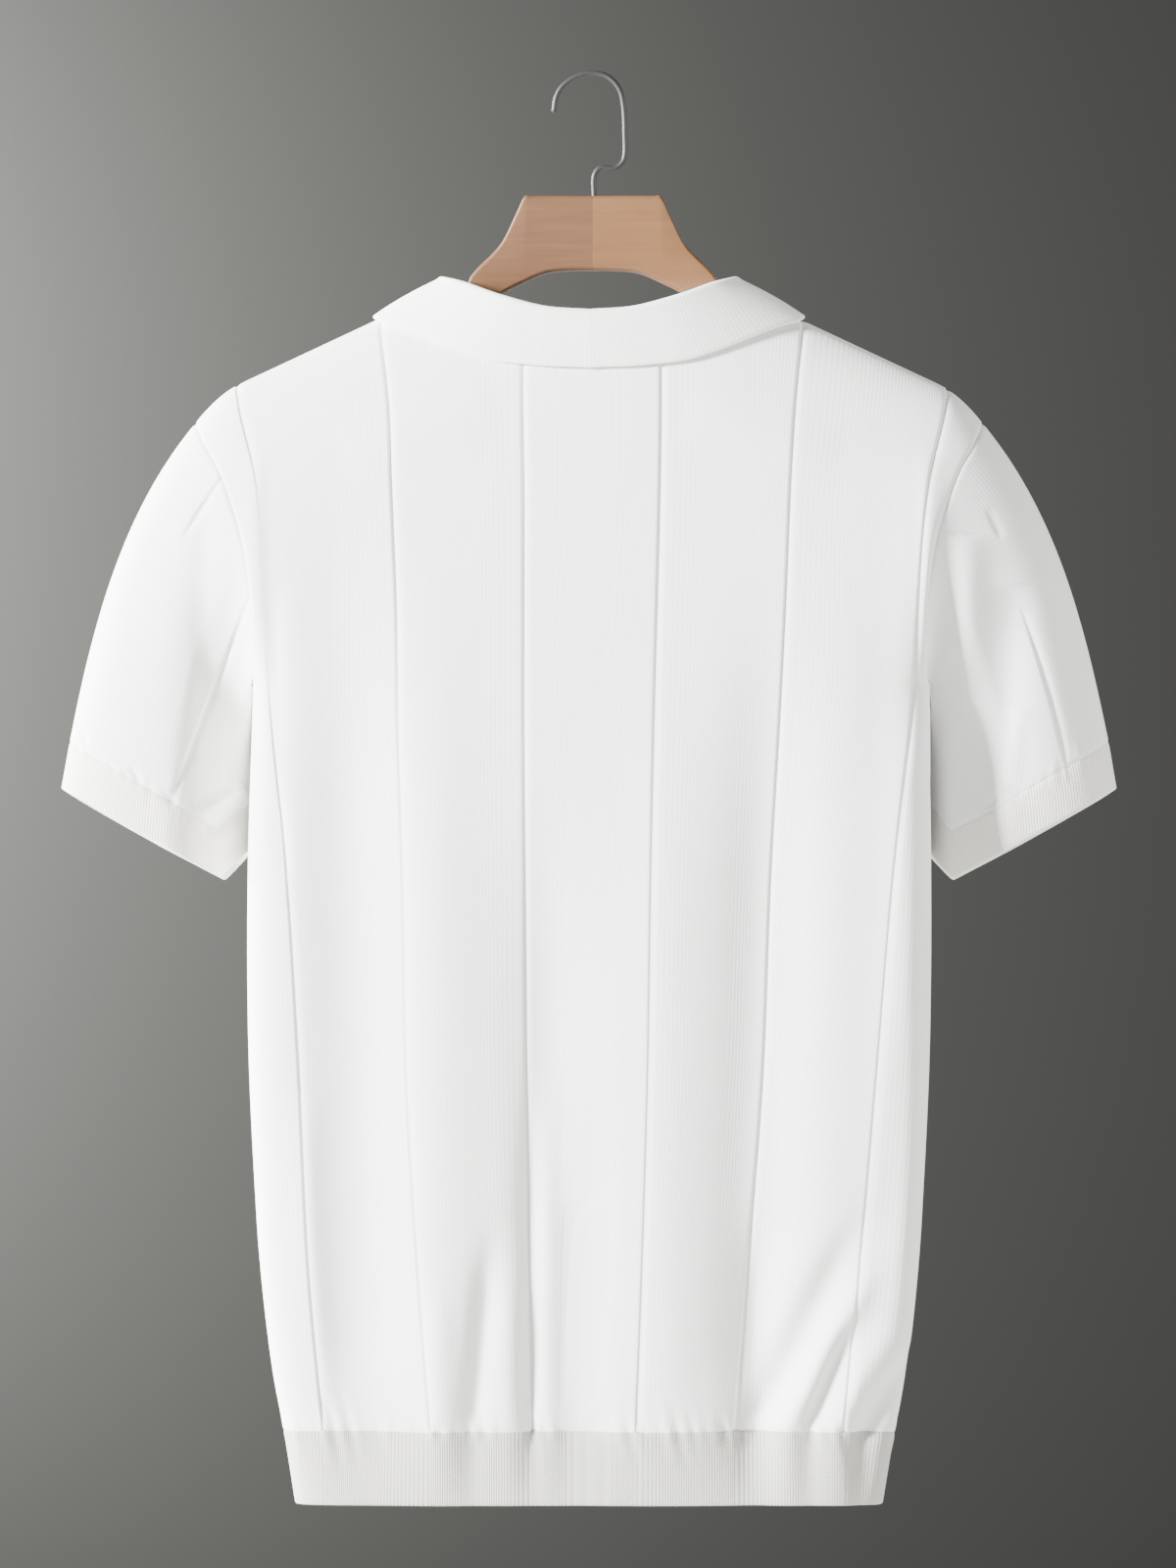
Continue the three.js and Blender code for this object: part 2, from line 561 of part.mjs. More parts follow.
// The sleeve's columns: from the shoulder seam down the back to the underarm, and up the front.
function sleeveColumns(hand) {
  const rises = PANEL_RISES.filter((rise) => rise > 1 && rise < 2);
  const top = middleOf(armholePoint(-1, hand, 2), armholePoint(1, hand, 2));
  const underarm = {
    point: bodyPoint(-1, hand, 1).setY(0),
    normal: new THREE.Vector3(hand, 0, 0),
    past: new THREE.Vector3(0, 0, 1),
  };
  const edge = (side) => rises.map((rise) => ({
    ...armholePoint(side, hand, rise),
    groove: SLEEVE_GROOVE_RISES.includes(rise),
  }));
  const loop = [top, ...edge(-1).reverse(), underarm, ...edge(1)];
  const turnAt = rises.length + 1;
  const run = (from, to) => {
    let length = 0;
    for (let i = from; i < to; i += 1) {
      length += loop[i].point.distanceTo(loop[(i + 1) % loop.length].point);
    }
    return length;
  };
  loop.forEach((place, i) => {
    const onBack = i <= turnAt;
    place.around = onBack ? run(0, i) / run(0, turnAt) : 1 + run(turnAt, i) / run(turnAt, loop.length);
  });
  const down = loop[0].point.z - underarm.point.z;
  for (const place of loop) {
    const low = (loop[0].point.z - place.point.z) / down;
    place.start = place.point.clone();
    place.start.addScaledVector(place.past, ARMHOLE_CLEAR.past);
    place.start.addScaledVector(place.normal, ARMHOLE_CLEAR.outAtUnderarm * low ** 2);
    place.leaves = direction(SLEEVE_LEAVES.shoulder, hand).multiplyScalar((1 - low) ** 2);
    place.leaves.addScaledVector(direction(SLEEVE_LEAVES.middle, hand), 2 * low * (1 - low));
    place.leaves.addScaledVector(direction(SLEEVE_LEAVES.underarm, hand), low ** 2).normalize();
  }
  return withGrooveEdges(loop);
}

// Adds a column to each side of every groove, on the straight line to its neighbour.
function withGrooveEdges(loop) {
  const columns = [];
  const between = (a, b) => {
    const share = GROOVE_HALF_WIDTH / a.start.distanceTo(b.start);
    const full = b.around < a.around - 1 ? b.around + 2 : b.around;
    return {
      start: a.start.clone().lerp(b.start, share),
      leaves: a.leaves.clone().lerp(b.leaves, share).normalize(),
      around: mix(a.around, full, share),
      groove: false,
    };
  };
  loop.forEach((place, i) => {
    if (place.groove) columns.push(between(place, loop[i - 1]));
    columns.push(place);
    if (place.groove) columns.push(between(place, loop[(i + 1) % loop.length]));
  });
  return columns;
}

// A point of the cuff's edge. around runs from 0 at the outside, by way of the back, to 1 at the inside,
// and on by way of the front to 2.
function cuffPoint(hand, around) {
  const { out: middleOut, halfAcross, middleY, halfDeep, roundness } = CUFF_OPENING;
  const { outerHeight, lowestHeight, lowestOut, innerHeight, frontLower } = CUFF_EDGE;
  const rounded = (value) => Math.sign(value) * Math.abs(value) ** (2 / roundness);
  const deep = rounded(Math.sin(around * Math.PI));
  const out = middleOut + halfAcross * rounded(Math.cos(around * Math.PI));
  const pushed = CUFF_PUSHED.by * ease((CUFF_PUSHED.from - out) / CUFF_PUSHED.over);
  const toLowest = clamp01((middleOut + halfAcross - out) / (middleOut + halfAcross - lowestOut));
  const toInner = clamp01((lowestOut - out) / (lowestOut - middleOut + halfAcross));
  const height = mix(outerHeight, lowestHeight, toLowest) + (innerHeight - lowestHeight) * toInner;
  const lower = frontLower * clamp01(-deep);
  return new THREE.Vector3(hand * out, middleY - halfDeep * deep + pushed, HEM_Z + height - lower);
}

function sleeve(hand) {
  const columns = sleeveColumns(hand);
  const curves = columns.map(({ start, leaves, around }) => {
    const end = cuffPoint(hand, around);
    const inward = 1 - Math.abs(1 - around);
    const arrives = direction(SLEEVE_ARRIVES.outer, hand).multiplyScalar(1 - inward);
    arrives.addScaledVector(direction(SLEEVE_ARRIVES.inner, hand), inward).normalize();
    const reach = SLEEVE_CURVE_REACH * start.distanceTo(end);
    const first = start.clone().addScaledVector(leaves, reach);
    const second = end.clone().addScaledVector(arrives, -reach);
    const curve = new THREE.CubicBezierCurve3(start, first, second, end);
    const length = curve.getLength();
    return { curve, seam: 1 - CUFF_HEIGHT / length, half: CUFF_SEAM_GAP / 2 / length };
  });
  const sleeveGrid = SLEEVE_ROWS.map((row) =>
    curves.map(({ curve, seam, half }) => curve.getPoint(row * (seam - half))),
  );
  const cuffGrid = CUFF_ROWS.map((row) =>
    curves.map(({ curve, seam, half }) => curve.getPoint(mix(seam + half, 1, row))),
  );
  const grid = [...sleeveGrid, ...cuffGrid];
  const normals = gridNormals(grid, true);
  const middle = grid[0].reduce((sum, p) => sum.add(p), new THREE.Vector3()).divideScalar(grid[0].length);
  const facing = normals[0][0].dot(grid[0][0].clone().sub(middle)) > 0 ? 1 : -1;
  const tube = (from, to, thickness, grooved) => {
    const moved = (by) => grid.slice(from, to).map((row, r) =>
      row.map((p, c) => p.clone().addScaledVector(normals[from + r][c], facing * by(c))),
    );
    const outer = moved((c) => (grooved && columns[c].groove ? -GROOVE_DEPTH : 0));
    return wall(outer, moved(() => -thickness), true);
  };
  const seamRow = SLEEVE_ROWS.length;
  return { sleeve: tube(0, seamRow, CLOTH, true), cuff: tube(seamRow, grid.length, RIB_CLOTH, false) };
}

for (const [hand, which] of [[-1, "left"], [1, "right"]]) {
  const made = sleeve(hand);
  add("sleeve_" + which, made.sleeve, KNIT_COLOR, KNIT_ROUGHNESS);
  add("cuff_" + which, made.cuff, RIB_COLOR, KNIT_ROUGHNESS);
}

// The turned-down collar

// A point over the body: over is the angle from the underarm at the back, by the top, to the front.
function overBody(x, over, lift) {
  const top = shoulderTop(x);
  const place = (angle) => {
    const height = UNDERARM_HEIGHT + (top - UNDERARM_HEIGHT) * Math.sin(angle);
    const round = read(ARMHOLE_EDGE, "height", "round", height);
    const bulge = (1 - (Math.abs(x) / round) ** BODY_ROUNDNESS) ** (1 / BODY_ROUNDNESS);
    const deep = read(BODY_SECTIONS, "height", "back", UNDERARM_HEIGHT);
    return new THREE.Vector3(x, -deep * Math.cos(angle) * bulge, HEM_Z + height);
  };
  const slope = Math.abs(x) < NECK_HALF_WIDTH ? 0 : SHOULDER_SLOPE;
  const along = place(over + DEGREE).sub(place(over - DEGREE));
  const across = new THREE.Vector3(Math.sign(x) || 1, 0, -slope * Math.sin(over));
  const normal = across.cross(along).normalize();
  if (normal.z < 0) normal.negate();
  return { point: place(over).addScaledVector(normal, lift), normal };
}

// The neckline, from the middle of the back (at 0) by the shoulder to the middle of the front (at 1).
function neckline(hand, at) {
  const isBack = at < COLLAR_SIDE_AT;
  const turn = isBack ? at / COLLAR_SIDE_AT : (1 - at) / (1 - COLLAR_SIDE_AT);
  const x = hand * NECK_HALF_WIDTH * Math.sin((turn * Math.PI) / 2);
  const over = isBack ? domeEnd(-1, x) : Math.PI - domeEnd(1, x);
  const edge = (isBack ? backPanel : frontPanel).outer.at(-1);
  const i = Math.max(1, edge.findIndex((p) => p.x >= x));
  const share = (x - edge[i - 1].x) / (edge[i].x - edge[i - 1].x);
  return { point: edge[i - 1].clone().lerp(edge[i], share), normal: overBody(x, over, 0).normal };
}

function collar() {
  const sections = [];
  for (let i = 0; i <= COLLAR_COLUMNS; i += 1) {
    const u = (2 * i) / COLLAR_COLUMNS - 1;
    const hand = Math.sign(u) || 1;
    const at = Math.abs(u);
    const value = (column) => read(COLLAR_SECTIONS, "at", column, at);
    const { point: seam, normal } = neckline(hand, Math.min(at, COLLAR_ENDS_AT));
    const ahead = neckline(hand, Math.min(at + COLLAR_STEP, COLLAR_ENDS_AT + COLLAR_STEP));
    const along = ahead.point.sub(neckline(hand, Math.max(at - COLLAR_STEP, 0)).point);
    const past = along.cross(normal).normalize();
    if (past.z < 0) past.negate();
    seam.addScaledVector(past, COLLAR_SEAM_CLEAR);
    seam.z += COLLAR_CORNER_RISE * Math.exp(-(((at - COLLAR_CORNER_AT) / COLLAR_CORNER_SPREAD) ** 2));
    const turned = seam.clone().addScaledVector(past, COLLAR_SEAM_RISE);
    turned.z += COLLAR_SEAM_RISE;
    const edge = overBody(hand * value("edgeX"), value("edgeOver") * DEGREE, COLLAR_LIFT).point;
    const outward = edge.clone().sub(seam).setZ(0).normalize();
    const centreZ = HEM_Z + value("foldHeight") - COLLAR_CLOTH - COLLAR_FOLD_RADIUS;
    const centre = new THREE.Vector3(hand * value("foldX"), value("foldY"), centreZ);
    const onFold = (angle) => centre.clone()
      .addScaledVector(outward, -COLLAR_FOLD_RADIUS * Math.cos(angle))
      .setZ(centre.z + COLLAR_FOLD_RADIUS * Math.sin(angle));
    const folded = [0, 45, 90, 135, 180].map((angle) => onFold(angle * DEGREE));
    const fall = COLLAR_FALL_ROWS.map((share) => folded[4].clone().lerp(edge, share));
    fall[0].addScaledVector(outward, COLLAR_FALL_BULGE).setZ(fall[0].z + COLLAR_FALL_BULGE);
    sections.push([seam, turned, turned.clone().lerp(folded[0], COLLAR_STAND_ROW), ...folded, ...fall]);
  }
  const path = sections[0].map((_, row) => sections.map((section) => section[row]));
  const normals = gridNormals(path, false);
  const outer = path.map((row, r) =>
    row.map((p, c) => p.clone().addScaledVector(normals[r][c], -COLLAR_CLOTH)),
  );
  return wall(outer, path);
}

add("collar", collar(), RIB_COLOR, KNIT_ROUGHNESS);

// The placket: a band on the outside of the front, one behind it, and the buttons

function placketBand(from, thickness) {
  const rises = [...PANEL_RISES.filter((rise) => rise > 1 && rise < PLACKET_TOP_RISE), PLACKET_TOP_RISE];
  const places = PLACKET_COLUMNS.map((share) => share * PLACKET_HALF_AT);
  const layer = (out) => rises.map((rise) =>
    places.map((u) => bodyPoint(1, u, rise).addScaledVector(bodyNormal(1, u, rise), out)),
  );
  return wall(layer(from + thickness), layer(from));
}

add("placket_over", placketBand(PLACKET_CLEAR, CLOTH), KNIT_COLOR, KNIT_ROUGHNESS);
add("placket_under", placketBand(-2 * CLOTH - PLACKET_CLEAR, CLOTH), KNIT_COLOR, KNIT_ROUGHNESS);

function button() {
  const { radius, thickness, rim, dishRadius, dishDepth, sides } = BUTTON;
  const profile = new THREE.Shape();
  profile.moveTo(0, 0);
  profile.lineTo(radius - rim, 0);
  profile.absarc(radius - rim, rim, rim, -Math.PI / 2, 0, false);
  profile.absarc(radius - rim, thickness - rim, rim, 0, Math.PI / 2, false);
  profile.lineTo(dishRadius, thickness - dishDepth);
  profile.lineTo(0, thickness - dishDepth);
  return new THREE.LatheGeometry(profile.getPoints(1), sides);
}

BUTTON_HEIGHTS.forEach((height, i) => {
  const over = Math.PI - Math.asin((height - UNDERARM_HEIGHT) / (shoulderTop(0) - UNDERARM_HEIGHT));
  const { point, normal } = overBody(0, over, PLACKET_CLEAR + CLOTH + 2 * SEAM_GAP);
  const mesh = add("button_" + (i + 1), toClosed(button()), BUTTON_COLOR, 0.35);
  mesh.position.copy(point);
  mesh.quaternion.setFromUnitVectors(new THREE.Vector3(0, 1, 0), normal);
});

// The hanger: two wooden halves and a bent wire hook

// Closed mesh through rings of points, with a flat cap at each end.
function loft(rings) {
  const count = rings[0].length;
  const positions = rings.flat().flatMap((p) => [p.x, p.y, p.z]);
  const index = [];
  for (let r = 0; r < rings.length - 1; r += 1) {
    for (let c = 0; c < count; c += 1) {
      const next = (c + 1) % count;
      const [here, beside] = [r * count + c, r * count + next];
      index.push(here, beside, beside + count, here, beside + count, here + count);
    }
  }
  const last = (rings.length - 1) * count;
  for (let c = 1; c < count - 1; c += 1) {
    index.push(0, c + 1, c, last, last + c, last + c + 1);
  }
  const geometry = new THREE.BufferGeometry();
  geometry.setAttribute("position", new THREE.Float32BufferAttribute(positions, 3));
  geometry.setIndex(index);
  return facingOut(geometry);
}

// A rounded oblong of the wood's section, in a plane across the arm.
function woodSection(x, top, low) {
  const radius = WOOD_EDGE_RADIUS;
  const middle = (top + low) / 2;
  const ring = [];
  for (let corner = 0; corner < 4; corner += 1) {
    const ySign = corner === 0 || corner === 3 ? 1 : -1;
    const zSign = corner < 2 ? 1 : -1;
    for (const turn of [0, 45, 90]) {
      const angle = (corner * 90 + turn) * DEGREE;
      const y = ySign * (WOOD_THICKNESS / 2 - radius) + radius * Math.cos(angle);
      const z = middle + zSign * ((top - low) / 2 - radius) + radius * Math.sin(angle);
      ring.push(new THREE.Vector3(x, y, z));
    }
  }
  return ring;
}

function hangerHalf(hand) {
  const { from, to, belowCloth, heightAtNeck, heightAtEnd } = HANGER_ARM;
  const armTop = (out) => HEM_Z + shoulderTop(out + hand * HANGER_ASIDE) - belowCloth;
  const armLow = (out) => armTop(out) - mix(heightAtNeck, heightAtEnd, (out - from) / (to - from));
  const withArm = (rows, arm) => [...rows, { out: from, z: arm(from) }, { out: to, z: arm(to) }];
  const height = (rows, arm, out) => (out < from ? read(withArm(rows, arm), "out", "z", out) : arm(out));
  const rings = HANGER_STATIONS.map((out) =>
    woodSection(hand * out, height(HUMP_SIDE, armTop, out), height(HANGER_ARCH, armLow, out)),
  );
  for (const { past, drop, rise } of HANGER_END) {
    rings.push(woodSection(hand * (to + past), armTop(to) - drop, armLow(to) + rise));
  }
  return loft(rings);
}

// The hole that the hook's stem sits in, cut through both halves along their joint.
function withStemBore(wood) {
  const radius = WIRE_RADIUS + SEAM_GAP;
  const length = WIRE_IN_WOOD + 2 * SEAM_GAP;
  const bore = new THREE.CylinderGeometry(radius, radius, 2 * length, 16).rotateX(Math.PI / 2);
  bore.translate(HOOK_LINE[0].x, 0, HUMP_TOP_Z);
  return fromSolid(toSolid(wood).subtract(toSolid(bore)));
}

function hook() {
  const bottom = { x: HOOK_LINE[0].x, z: HUMP_TOP_Z - WIRE_IN_WOOD };
  const points = [bottom, ...HOOK_LINE].map(({ x, z }) => new THREE.Vector3(x, 0, z));
  const line = new THREE.CatmullRomCurve3(points, false, "centripetal");
  const section = new THREE.Shape().absarc(0, 0, WIRE_RADIUS, 0, 2 * Math.PI, false);
  return new THREE.ExtrudeGeometry(section, { steps: 52, curveSegments: 5, extrudePath: line });
}

add("hanger_left", withStemBore(hangerHalf(-1)), WOOD_LEFT_COLOR, WOOD_ROUGHNESS, 0, hanger);
add("hanger_right", withStemBore(hangerHalf(1)), WOOD_RIGHT_COLOR, WOOD_ROUGHNESS, 0, hanger);
add("hook", toClosed(hook()), STEEL_COLOR, 0.35, 0.9, hanger);

export default hangingShirt;
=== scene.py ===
# A white knitted polo shirt, filled out with no wearer, hung on a wooden hanger and seen from the back.
# Tables and sizes are in millimetres, heights are above the hem, and meshes are made in metres.
# The shirt's back faces -Y, its front faces +Y and the wearer's right side is +X.
import math

import bpy
import numpy as np
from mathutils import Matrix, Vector


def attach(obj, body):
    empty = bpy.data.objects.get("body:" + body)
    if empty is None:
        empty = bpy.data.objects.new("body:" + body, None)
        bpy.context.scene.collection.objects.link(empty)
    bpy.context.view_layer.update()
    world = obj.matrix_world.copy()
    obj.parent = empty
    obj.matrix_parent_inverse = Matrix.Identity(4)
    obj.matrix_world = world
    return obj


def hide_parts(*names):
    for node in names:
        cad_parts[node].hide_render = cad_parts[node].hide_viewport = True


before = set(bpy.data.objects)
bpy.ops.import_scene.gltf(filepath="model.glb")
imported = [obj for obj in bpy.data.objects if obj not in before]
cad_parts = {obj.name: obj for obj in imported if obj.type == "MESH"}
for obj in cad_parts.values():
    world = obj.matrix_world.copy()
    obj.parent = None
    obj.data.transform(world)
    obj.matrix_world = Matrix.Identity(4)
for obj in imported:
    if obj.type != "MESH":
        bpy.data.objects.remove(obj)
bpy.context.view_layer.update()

MM = 0.001
DEGREE = math.pi / 180

# Driving sizes of the shirt
HEM_Z = -872
BAND_HEIGHT = 44
UNDERARM = 499
NECK_HALF = 98
NECK_POINT = 737
SHOULDER_SLOPE = 0.4675
SHOULDER_BEND_FROM = 213
SHOULDER_BEND = 0.0146
SHOULDER_SEAM_TILT = 6 * DEGREE
CUFF_HEIGHT = 28
CLOTH = 1.8
RIB_CLOTH = 2.2
COLLAR_CLOTH = 2
ROUNDNESS = 6
ASIDE = -2.4


def table(names, *rows):
    """A table with named columns."""
    return {name: np.array(column, float) for name, column in zip(names.split(), zip(*rows))}


def rows_of(columns):
    """A table's rows, each as a dictionary."""
    names = list(columns)
    return [dict(zip(names, values)) for values in zip(*columns.values())]


# The body's level sections: half width, and depth of the back and the front
BODY = table(
    "height half back front",
    (0, 179.5, 43, 44),
    (44, 186.5, 46, 47),
    (79, 193, 49, 51),
    (127, 199, 51, 53),
    (175, 203, 52, 54),
    (283, 208, 52.5, 54.5),
    (403, 208, 52, 53.5),
    (499, 204, 51, 51),
)

# The armhole edge, and the half width of the rounded section that the edge cuts short
ARMHOLE = table(
    "height edge round",
    (499, 204, 204),
    (534, 204.5, 213),
    (560, 207, 224),
    (585, 211, 238),
    (610, 218.5, 250),
    (630, 226.5, 257),
    (645, 235, 262),
    (658, 241, 265),
    (680, 249, 270),
    (760, 275, 285),
)

# The six long grooves knitted into each panel, from the left side to the right side
GROOVES = table(
    "height g0 g1 g2 g3 g4 g5",
    (44, -162.3, -96.3, -34.5, 28.5, 88.5, 154),
    (139, -170.7, -103.5, -37, 32.1, 95.7, 164),
    (259, -176.7, -110.7, -38.7, 35.7, 105.3, 174.3),
    (379, -184, -113.1, -39.3, 37.5, 110.1, 184),
    (475, -193.5, -116.1, -39.9, 39.3, 115.5, 193.5),
    (547, -197.7, -117.3, -39.9, 41.1, 119.1, 199),
    (619, -202, -120.3, -39.9, 42.9, 122.1, 206),
    (667, -213.3, -122.1, -40.5, 43.5, 125.1, 217),
    (715, -221, -127.5, -40.5, 43.5, 129.9, 223),
)
GROOVE_AT = [-5 / 6, -1 / 2, -1 / 6, 1 / 6, 1 / 2, 5 / 6]

# How deep each groove shows, as a share, where the cloth is pulled smooth
GROOVE_SHOWS = table(
    "height g0 g1 g2 g3 g4 g5",
    (44, 0.8, 0.6, 1, 0.7, 0.9, 0.6),
    (300, 0.8, 0.45, 0.9, 0.6, 1, 0.55),
    (470, 0.7, 0.7, 0.9, 0.8, 1, 0.7),
    (520, 0.1, 0.9, 0.95, 0.9, 1, 0.75),
    (560, 0.02, 1, 1, 1, 1, 0.8),
    (600, 0.1, 1, 1, 1, 1, 0.85),
    (645, 0.7, 1, 1, 1, 1, 0.85),
    (715, 0.9, 1, 1, 1, 1, 0.9),
)
NECK_AT = 7 / 18
NECK_SHARE = 2 / 3
NECK_SETTLES_FROM = 600
NECK_SETTLES_OVER = 110

# How far over its dome each panel's neckline is cut, in degrees from the underarm
NECK_CUT = {-1: (52, 2.6, 1), 1: (35, 2.4, 0.9)}

# The largest folds: a soft line from its upper to its lower end, its spread and how far it stands out
BACK_FOLDS = table(
    "from_x from_height to_x to_height spread out",
    (-154, 680, -139, 46, 31, -9),
    (-94, 600, -94, 46, 24, 3),
    (-27, 470, -20, 46, 26, -6.5),
    (45, 560, 43, 46, 22, 2.5),
    (114, 600, 99, 46, 26, -9.2),
    (203, 700, 188, 46, 15, 5),
    (-92, 150, -91, 44, 9, 1.6),
    (-58, 180, -71, 44, 8, -3.8),
    (-46, 150, -47, 44, 8, 1.8),
    (-36, 290, -34.8, 44, 7, -2.8),
    (-25, 240, -26, 44, 8, 1.4),
    (-4, 290, -5, 44, 10, -3.7),
    (104, 190, 97, 44, 12, -3),
    (172, 190, 102, 46, 12, -5),
    (182, 160, 119, 46, 9, 3),
    (164, 124, 134, 44, 6.5, -3.6),
    (182, 116, 151, 44, 8, 3),
    (200, 104, 166, 38, 6.5, -5),
)
FRONT_FOLDS = table(
    "from_x from_height to_x to_height spread out",
    (158, 660, 148, 46, 26, -8),
    (92, 580, 95, 46, 24, 3),
    (30, 440, 22, 46, 26, -6),
    (-46, 540, -46, 46, 22, 2.5),
    (-113, 600, -99, 46, 27, -8),
    (-199, 380, -188, 46, 15, 5),
    (96, 130, 94, 44, 8, 2),
    (72, 108, 80, 44, 7, -4),
    (8, 150, 12, 44, 10, -3.5),
    (-60, 110, -52, 44, 8, -3.5),
    (-160, 150, -106, 46, 11, -5),
    (-172, 124, -128, 46, 9, 3),
    (-192, 92, -164, 38, 6, -5),
)
FOLD_GROWN_BY = 0.45
FOLD_EASED_AT = 0.9
FOLD_EASED_BY = 0.35
FOLD_AT_HEM = 0.3
FOLD_SIDE_MARGIN = 0.08

# A sleeve's open end, seen from above, and the heights of its edge
CUFF_OUT = 263.2
CUFF_HALF_ACROSS = 60.2
CUFF_MIDDLE_Y = 12
CUFF_HALF_DEEP = 32
CUFF_ROUNDNESS = 2.6
CUFF_PUSHED_BY = 30
CUFF_PUSHED_FROM = 262
CUFF_PUSHED_OVER = 59
CUFF_OUTER_HEIGHT = 436
CUFF_LOWEST_HEIGHT = 382
CUFF_LOWEST_OUT = 225.6
CUFF_INNER_HEIGHT = 403
CUFF_FRONT_LOWER = 2.5

# The directions in which a sleeve leaves the armhole and arrives at its cuff: out, forward and up
LEAVES_SHOULDER = (0.64, 0, -0.77)
LEAVES_MIDDLE = (0.8, 0.12, -0.6)
LEAVES_UNDERARM = (0.13, 0.85, -0.5)
ARRIVES_OUTER = (0.18, 0, -0.98)
ARRIVES_INNER = (-0.05, 0.3, -0.95)
SLEEVE_REACH = 0.34
SLEEVE_GROOVES = [1.72, 1.22]

# The collar from the middle of the back (at 0) round to its front end (at 1)
COLLAR = table(
    "at fold_x fold_y fold_height edge_x edge_over",
    (0, 0, -36, 727.2, 0, 47.7),
    (0.12, 27, -35.3, 729.3, 32, 48.8),
    (0.25, 55, -31, 736.8, 66, 52.8),
    (0.36, 76, -21.5, 744.6, 97, 62.2),
    (0.45, 88, -9.5, 748, 124, 77),
    (0.5, 90, 0, 748.5, 130, 87),
    (0.6, 84, 15, 744, 124, 104),
    (0.7, 70, 27, 731, 108, 119),
    (0.8, 50, 37, 713, 90, 130),
    (0.9, 27, 44, 692, 75, 138),
    (1, 5, 48, 672, 62, 143.5),
)
COLLAR_SIDE_AT = 0.46
COLLAR_FOLD_RADIUS = 1.3
COLLAR_LIFT = 1.4
COLLAR_SEAM_CLEAR = 1.2
COLLAR_SEAM_RISE = 1.8
COLLAR_ENDS_AT = 0.985
COLLAR_FALL_BULGE = 1
COLLAR_CORNER_AT = 0.5
COLLAR_CORNER_RISE = 3
COLLAR_CORNER_SPREAD = 0.08

PLACKET_HALF_AT = 0.0625
PLACKET_TOP_RISE = 1.985
PLACKET_CLEAR = 0.45
PLACKET_STITCH_AT = 2.6
PLACKET_STITCH_WIDTH = 0.7
PLACKET_STITCH_DEPTH = 0.4
BUTTON_HEIGHTS = [634, 581, 528]

# The hanger's outline on one side, and its arms
WOOD_THICKNESS = 14
WOOD_EDGE_RADIUS = 3
HUMP_TOP_Z = -74.1
HUMP_SIDE = table(
    "out z",
    (0, HUMP_TOP_Z),
    (38, HUMP_TOP_Z),
    (42, -74.6),
    (46, -83),
    (56, -103),
    (75, -123.8),
    (77.5, -133.5),
    (81.5, -145.5),
    (93, -147.5),
)
HANGER_ARCH = table(
    "out z",
    (0, -119.9),
    (11, -119.9),
    (28, -121.5),
    (45, -128.7),
    (56, -134.7),
    (70, -147),
    (84, -160),
)
ARM_FROM = 112
ARM_TO = 211
ARM_HEIGHT_AT_NECK = 24
ARM_HEIGHT_AT_END = 17
ARM_BELOW_CLOTH = 4.15
WIRE_RADIUS = 1.5
WIRE_IN_WOOD = 14
HOOK_LINE = table(
    "x z",
    (0.8, -88.1),
    (0.8, -74.1),
    (0.8, -62),
    (4.2, -57),
    (14.2, -56.6),
    (19.2, -51),
    (19.6, -36),
    (18.9, -20),
    (16.2, -8.6),
    (9.4, -1),
    (0, 1.5),
    (-10, -0.8),
    (-18.4, -6.6),
    (-22.4, -13.4),
    (-23.8, -21.5),
)


# Curves and easing

def read(rows, key, column, at):
    """Turns a table into a smooth curve and reads one column of it."""
    keys, values = rows[key], rows[column]
    last = len(keys) - 1
    order = np.arange(last + 1)
    before, after = np.maximum(order - 1, 0), np.minimum(order + 1, last)
    slopes = (values[after] - values[before]) / (keys[after] - keys[before])
    at = np.clip(at, keys[0], keys[-1])
    i = np.clip(np.searchsorted(keys, at, side="right") - 1, 0, last - 1)
    span = keys[i + 1] - keys[i]
    s = (at - keys[i]) / span
    rise = values[i + 1] - values[i]
    start, end = slopes[i] * span, slopes[i + 1] * span
    return values[i] + start * s + (3 * rise - 2 * start - end) * s**2 + (start + end - 2 * rise) * s**3


def mix(a, b, s):
    return a + (b - a) * s


def ease(s):
    s = np.clip(s, 0, 1)
    return s * s * (3 - 2 * s)


def unit(vectors):
    return vectors / np.maximum(np.linalg.norm(vectors, axis=-1, keepdims=True), 1e-9)


def points(x, y, z):
    return np.stack(np.broadcast_arrays(x, y, z), -1).astype(float)


# The body

def shoulder_top(x):
    """Height of the shoulder's top line above the hem, carried on across the neck."""
    away = np.abs(x)
    crown = SHOULDER_SLOPE * NECK_HALF / 2 * (1 - (away / NECK_HALF) ** 2)
    bend = SHOULDER_BEND * np.maximum(0, away - SHOULDER_BEND_FROM) ** 2
    outside = -SHOULDER_SLOPE * (away - NECK_HALF) - bend
    return NECK_POINT + np.where(away < NECK_HALF, crown, outside)


def dome_end(side, x):
    """How far over its dome a panel reaches: to the shoulder seam, or to the neckline."""
    seam = math.pi / 2 + side * SHOULDER_SEAM_TILT
    away = np.minimum(np.abs(x) / NECK_HALF, 1)
    middle, power, fall = NECK_CUT[side]
    return seam - (seam - middle * DEGREE) * (1 - away**power) ** fall


def half_width(column, height):
    below = read(BODY, "height", "half", height)
    return np.where(height < UNDERARM, below, read(ARMHOLE, "height", column, height))


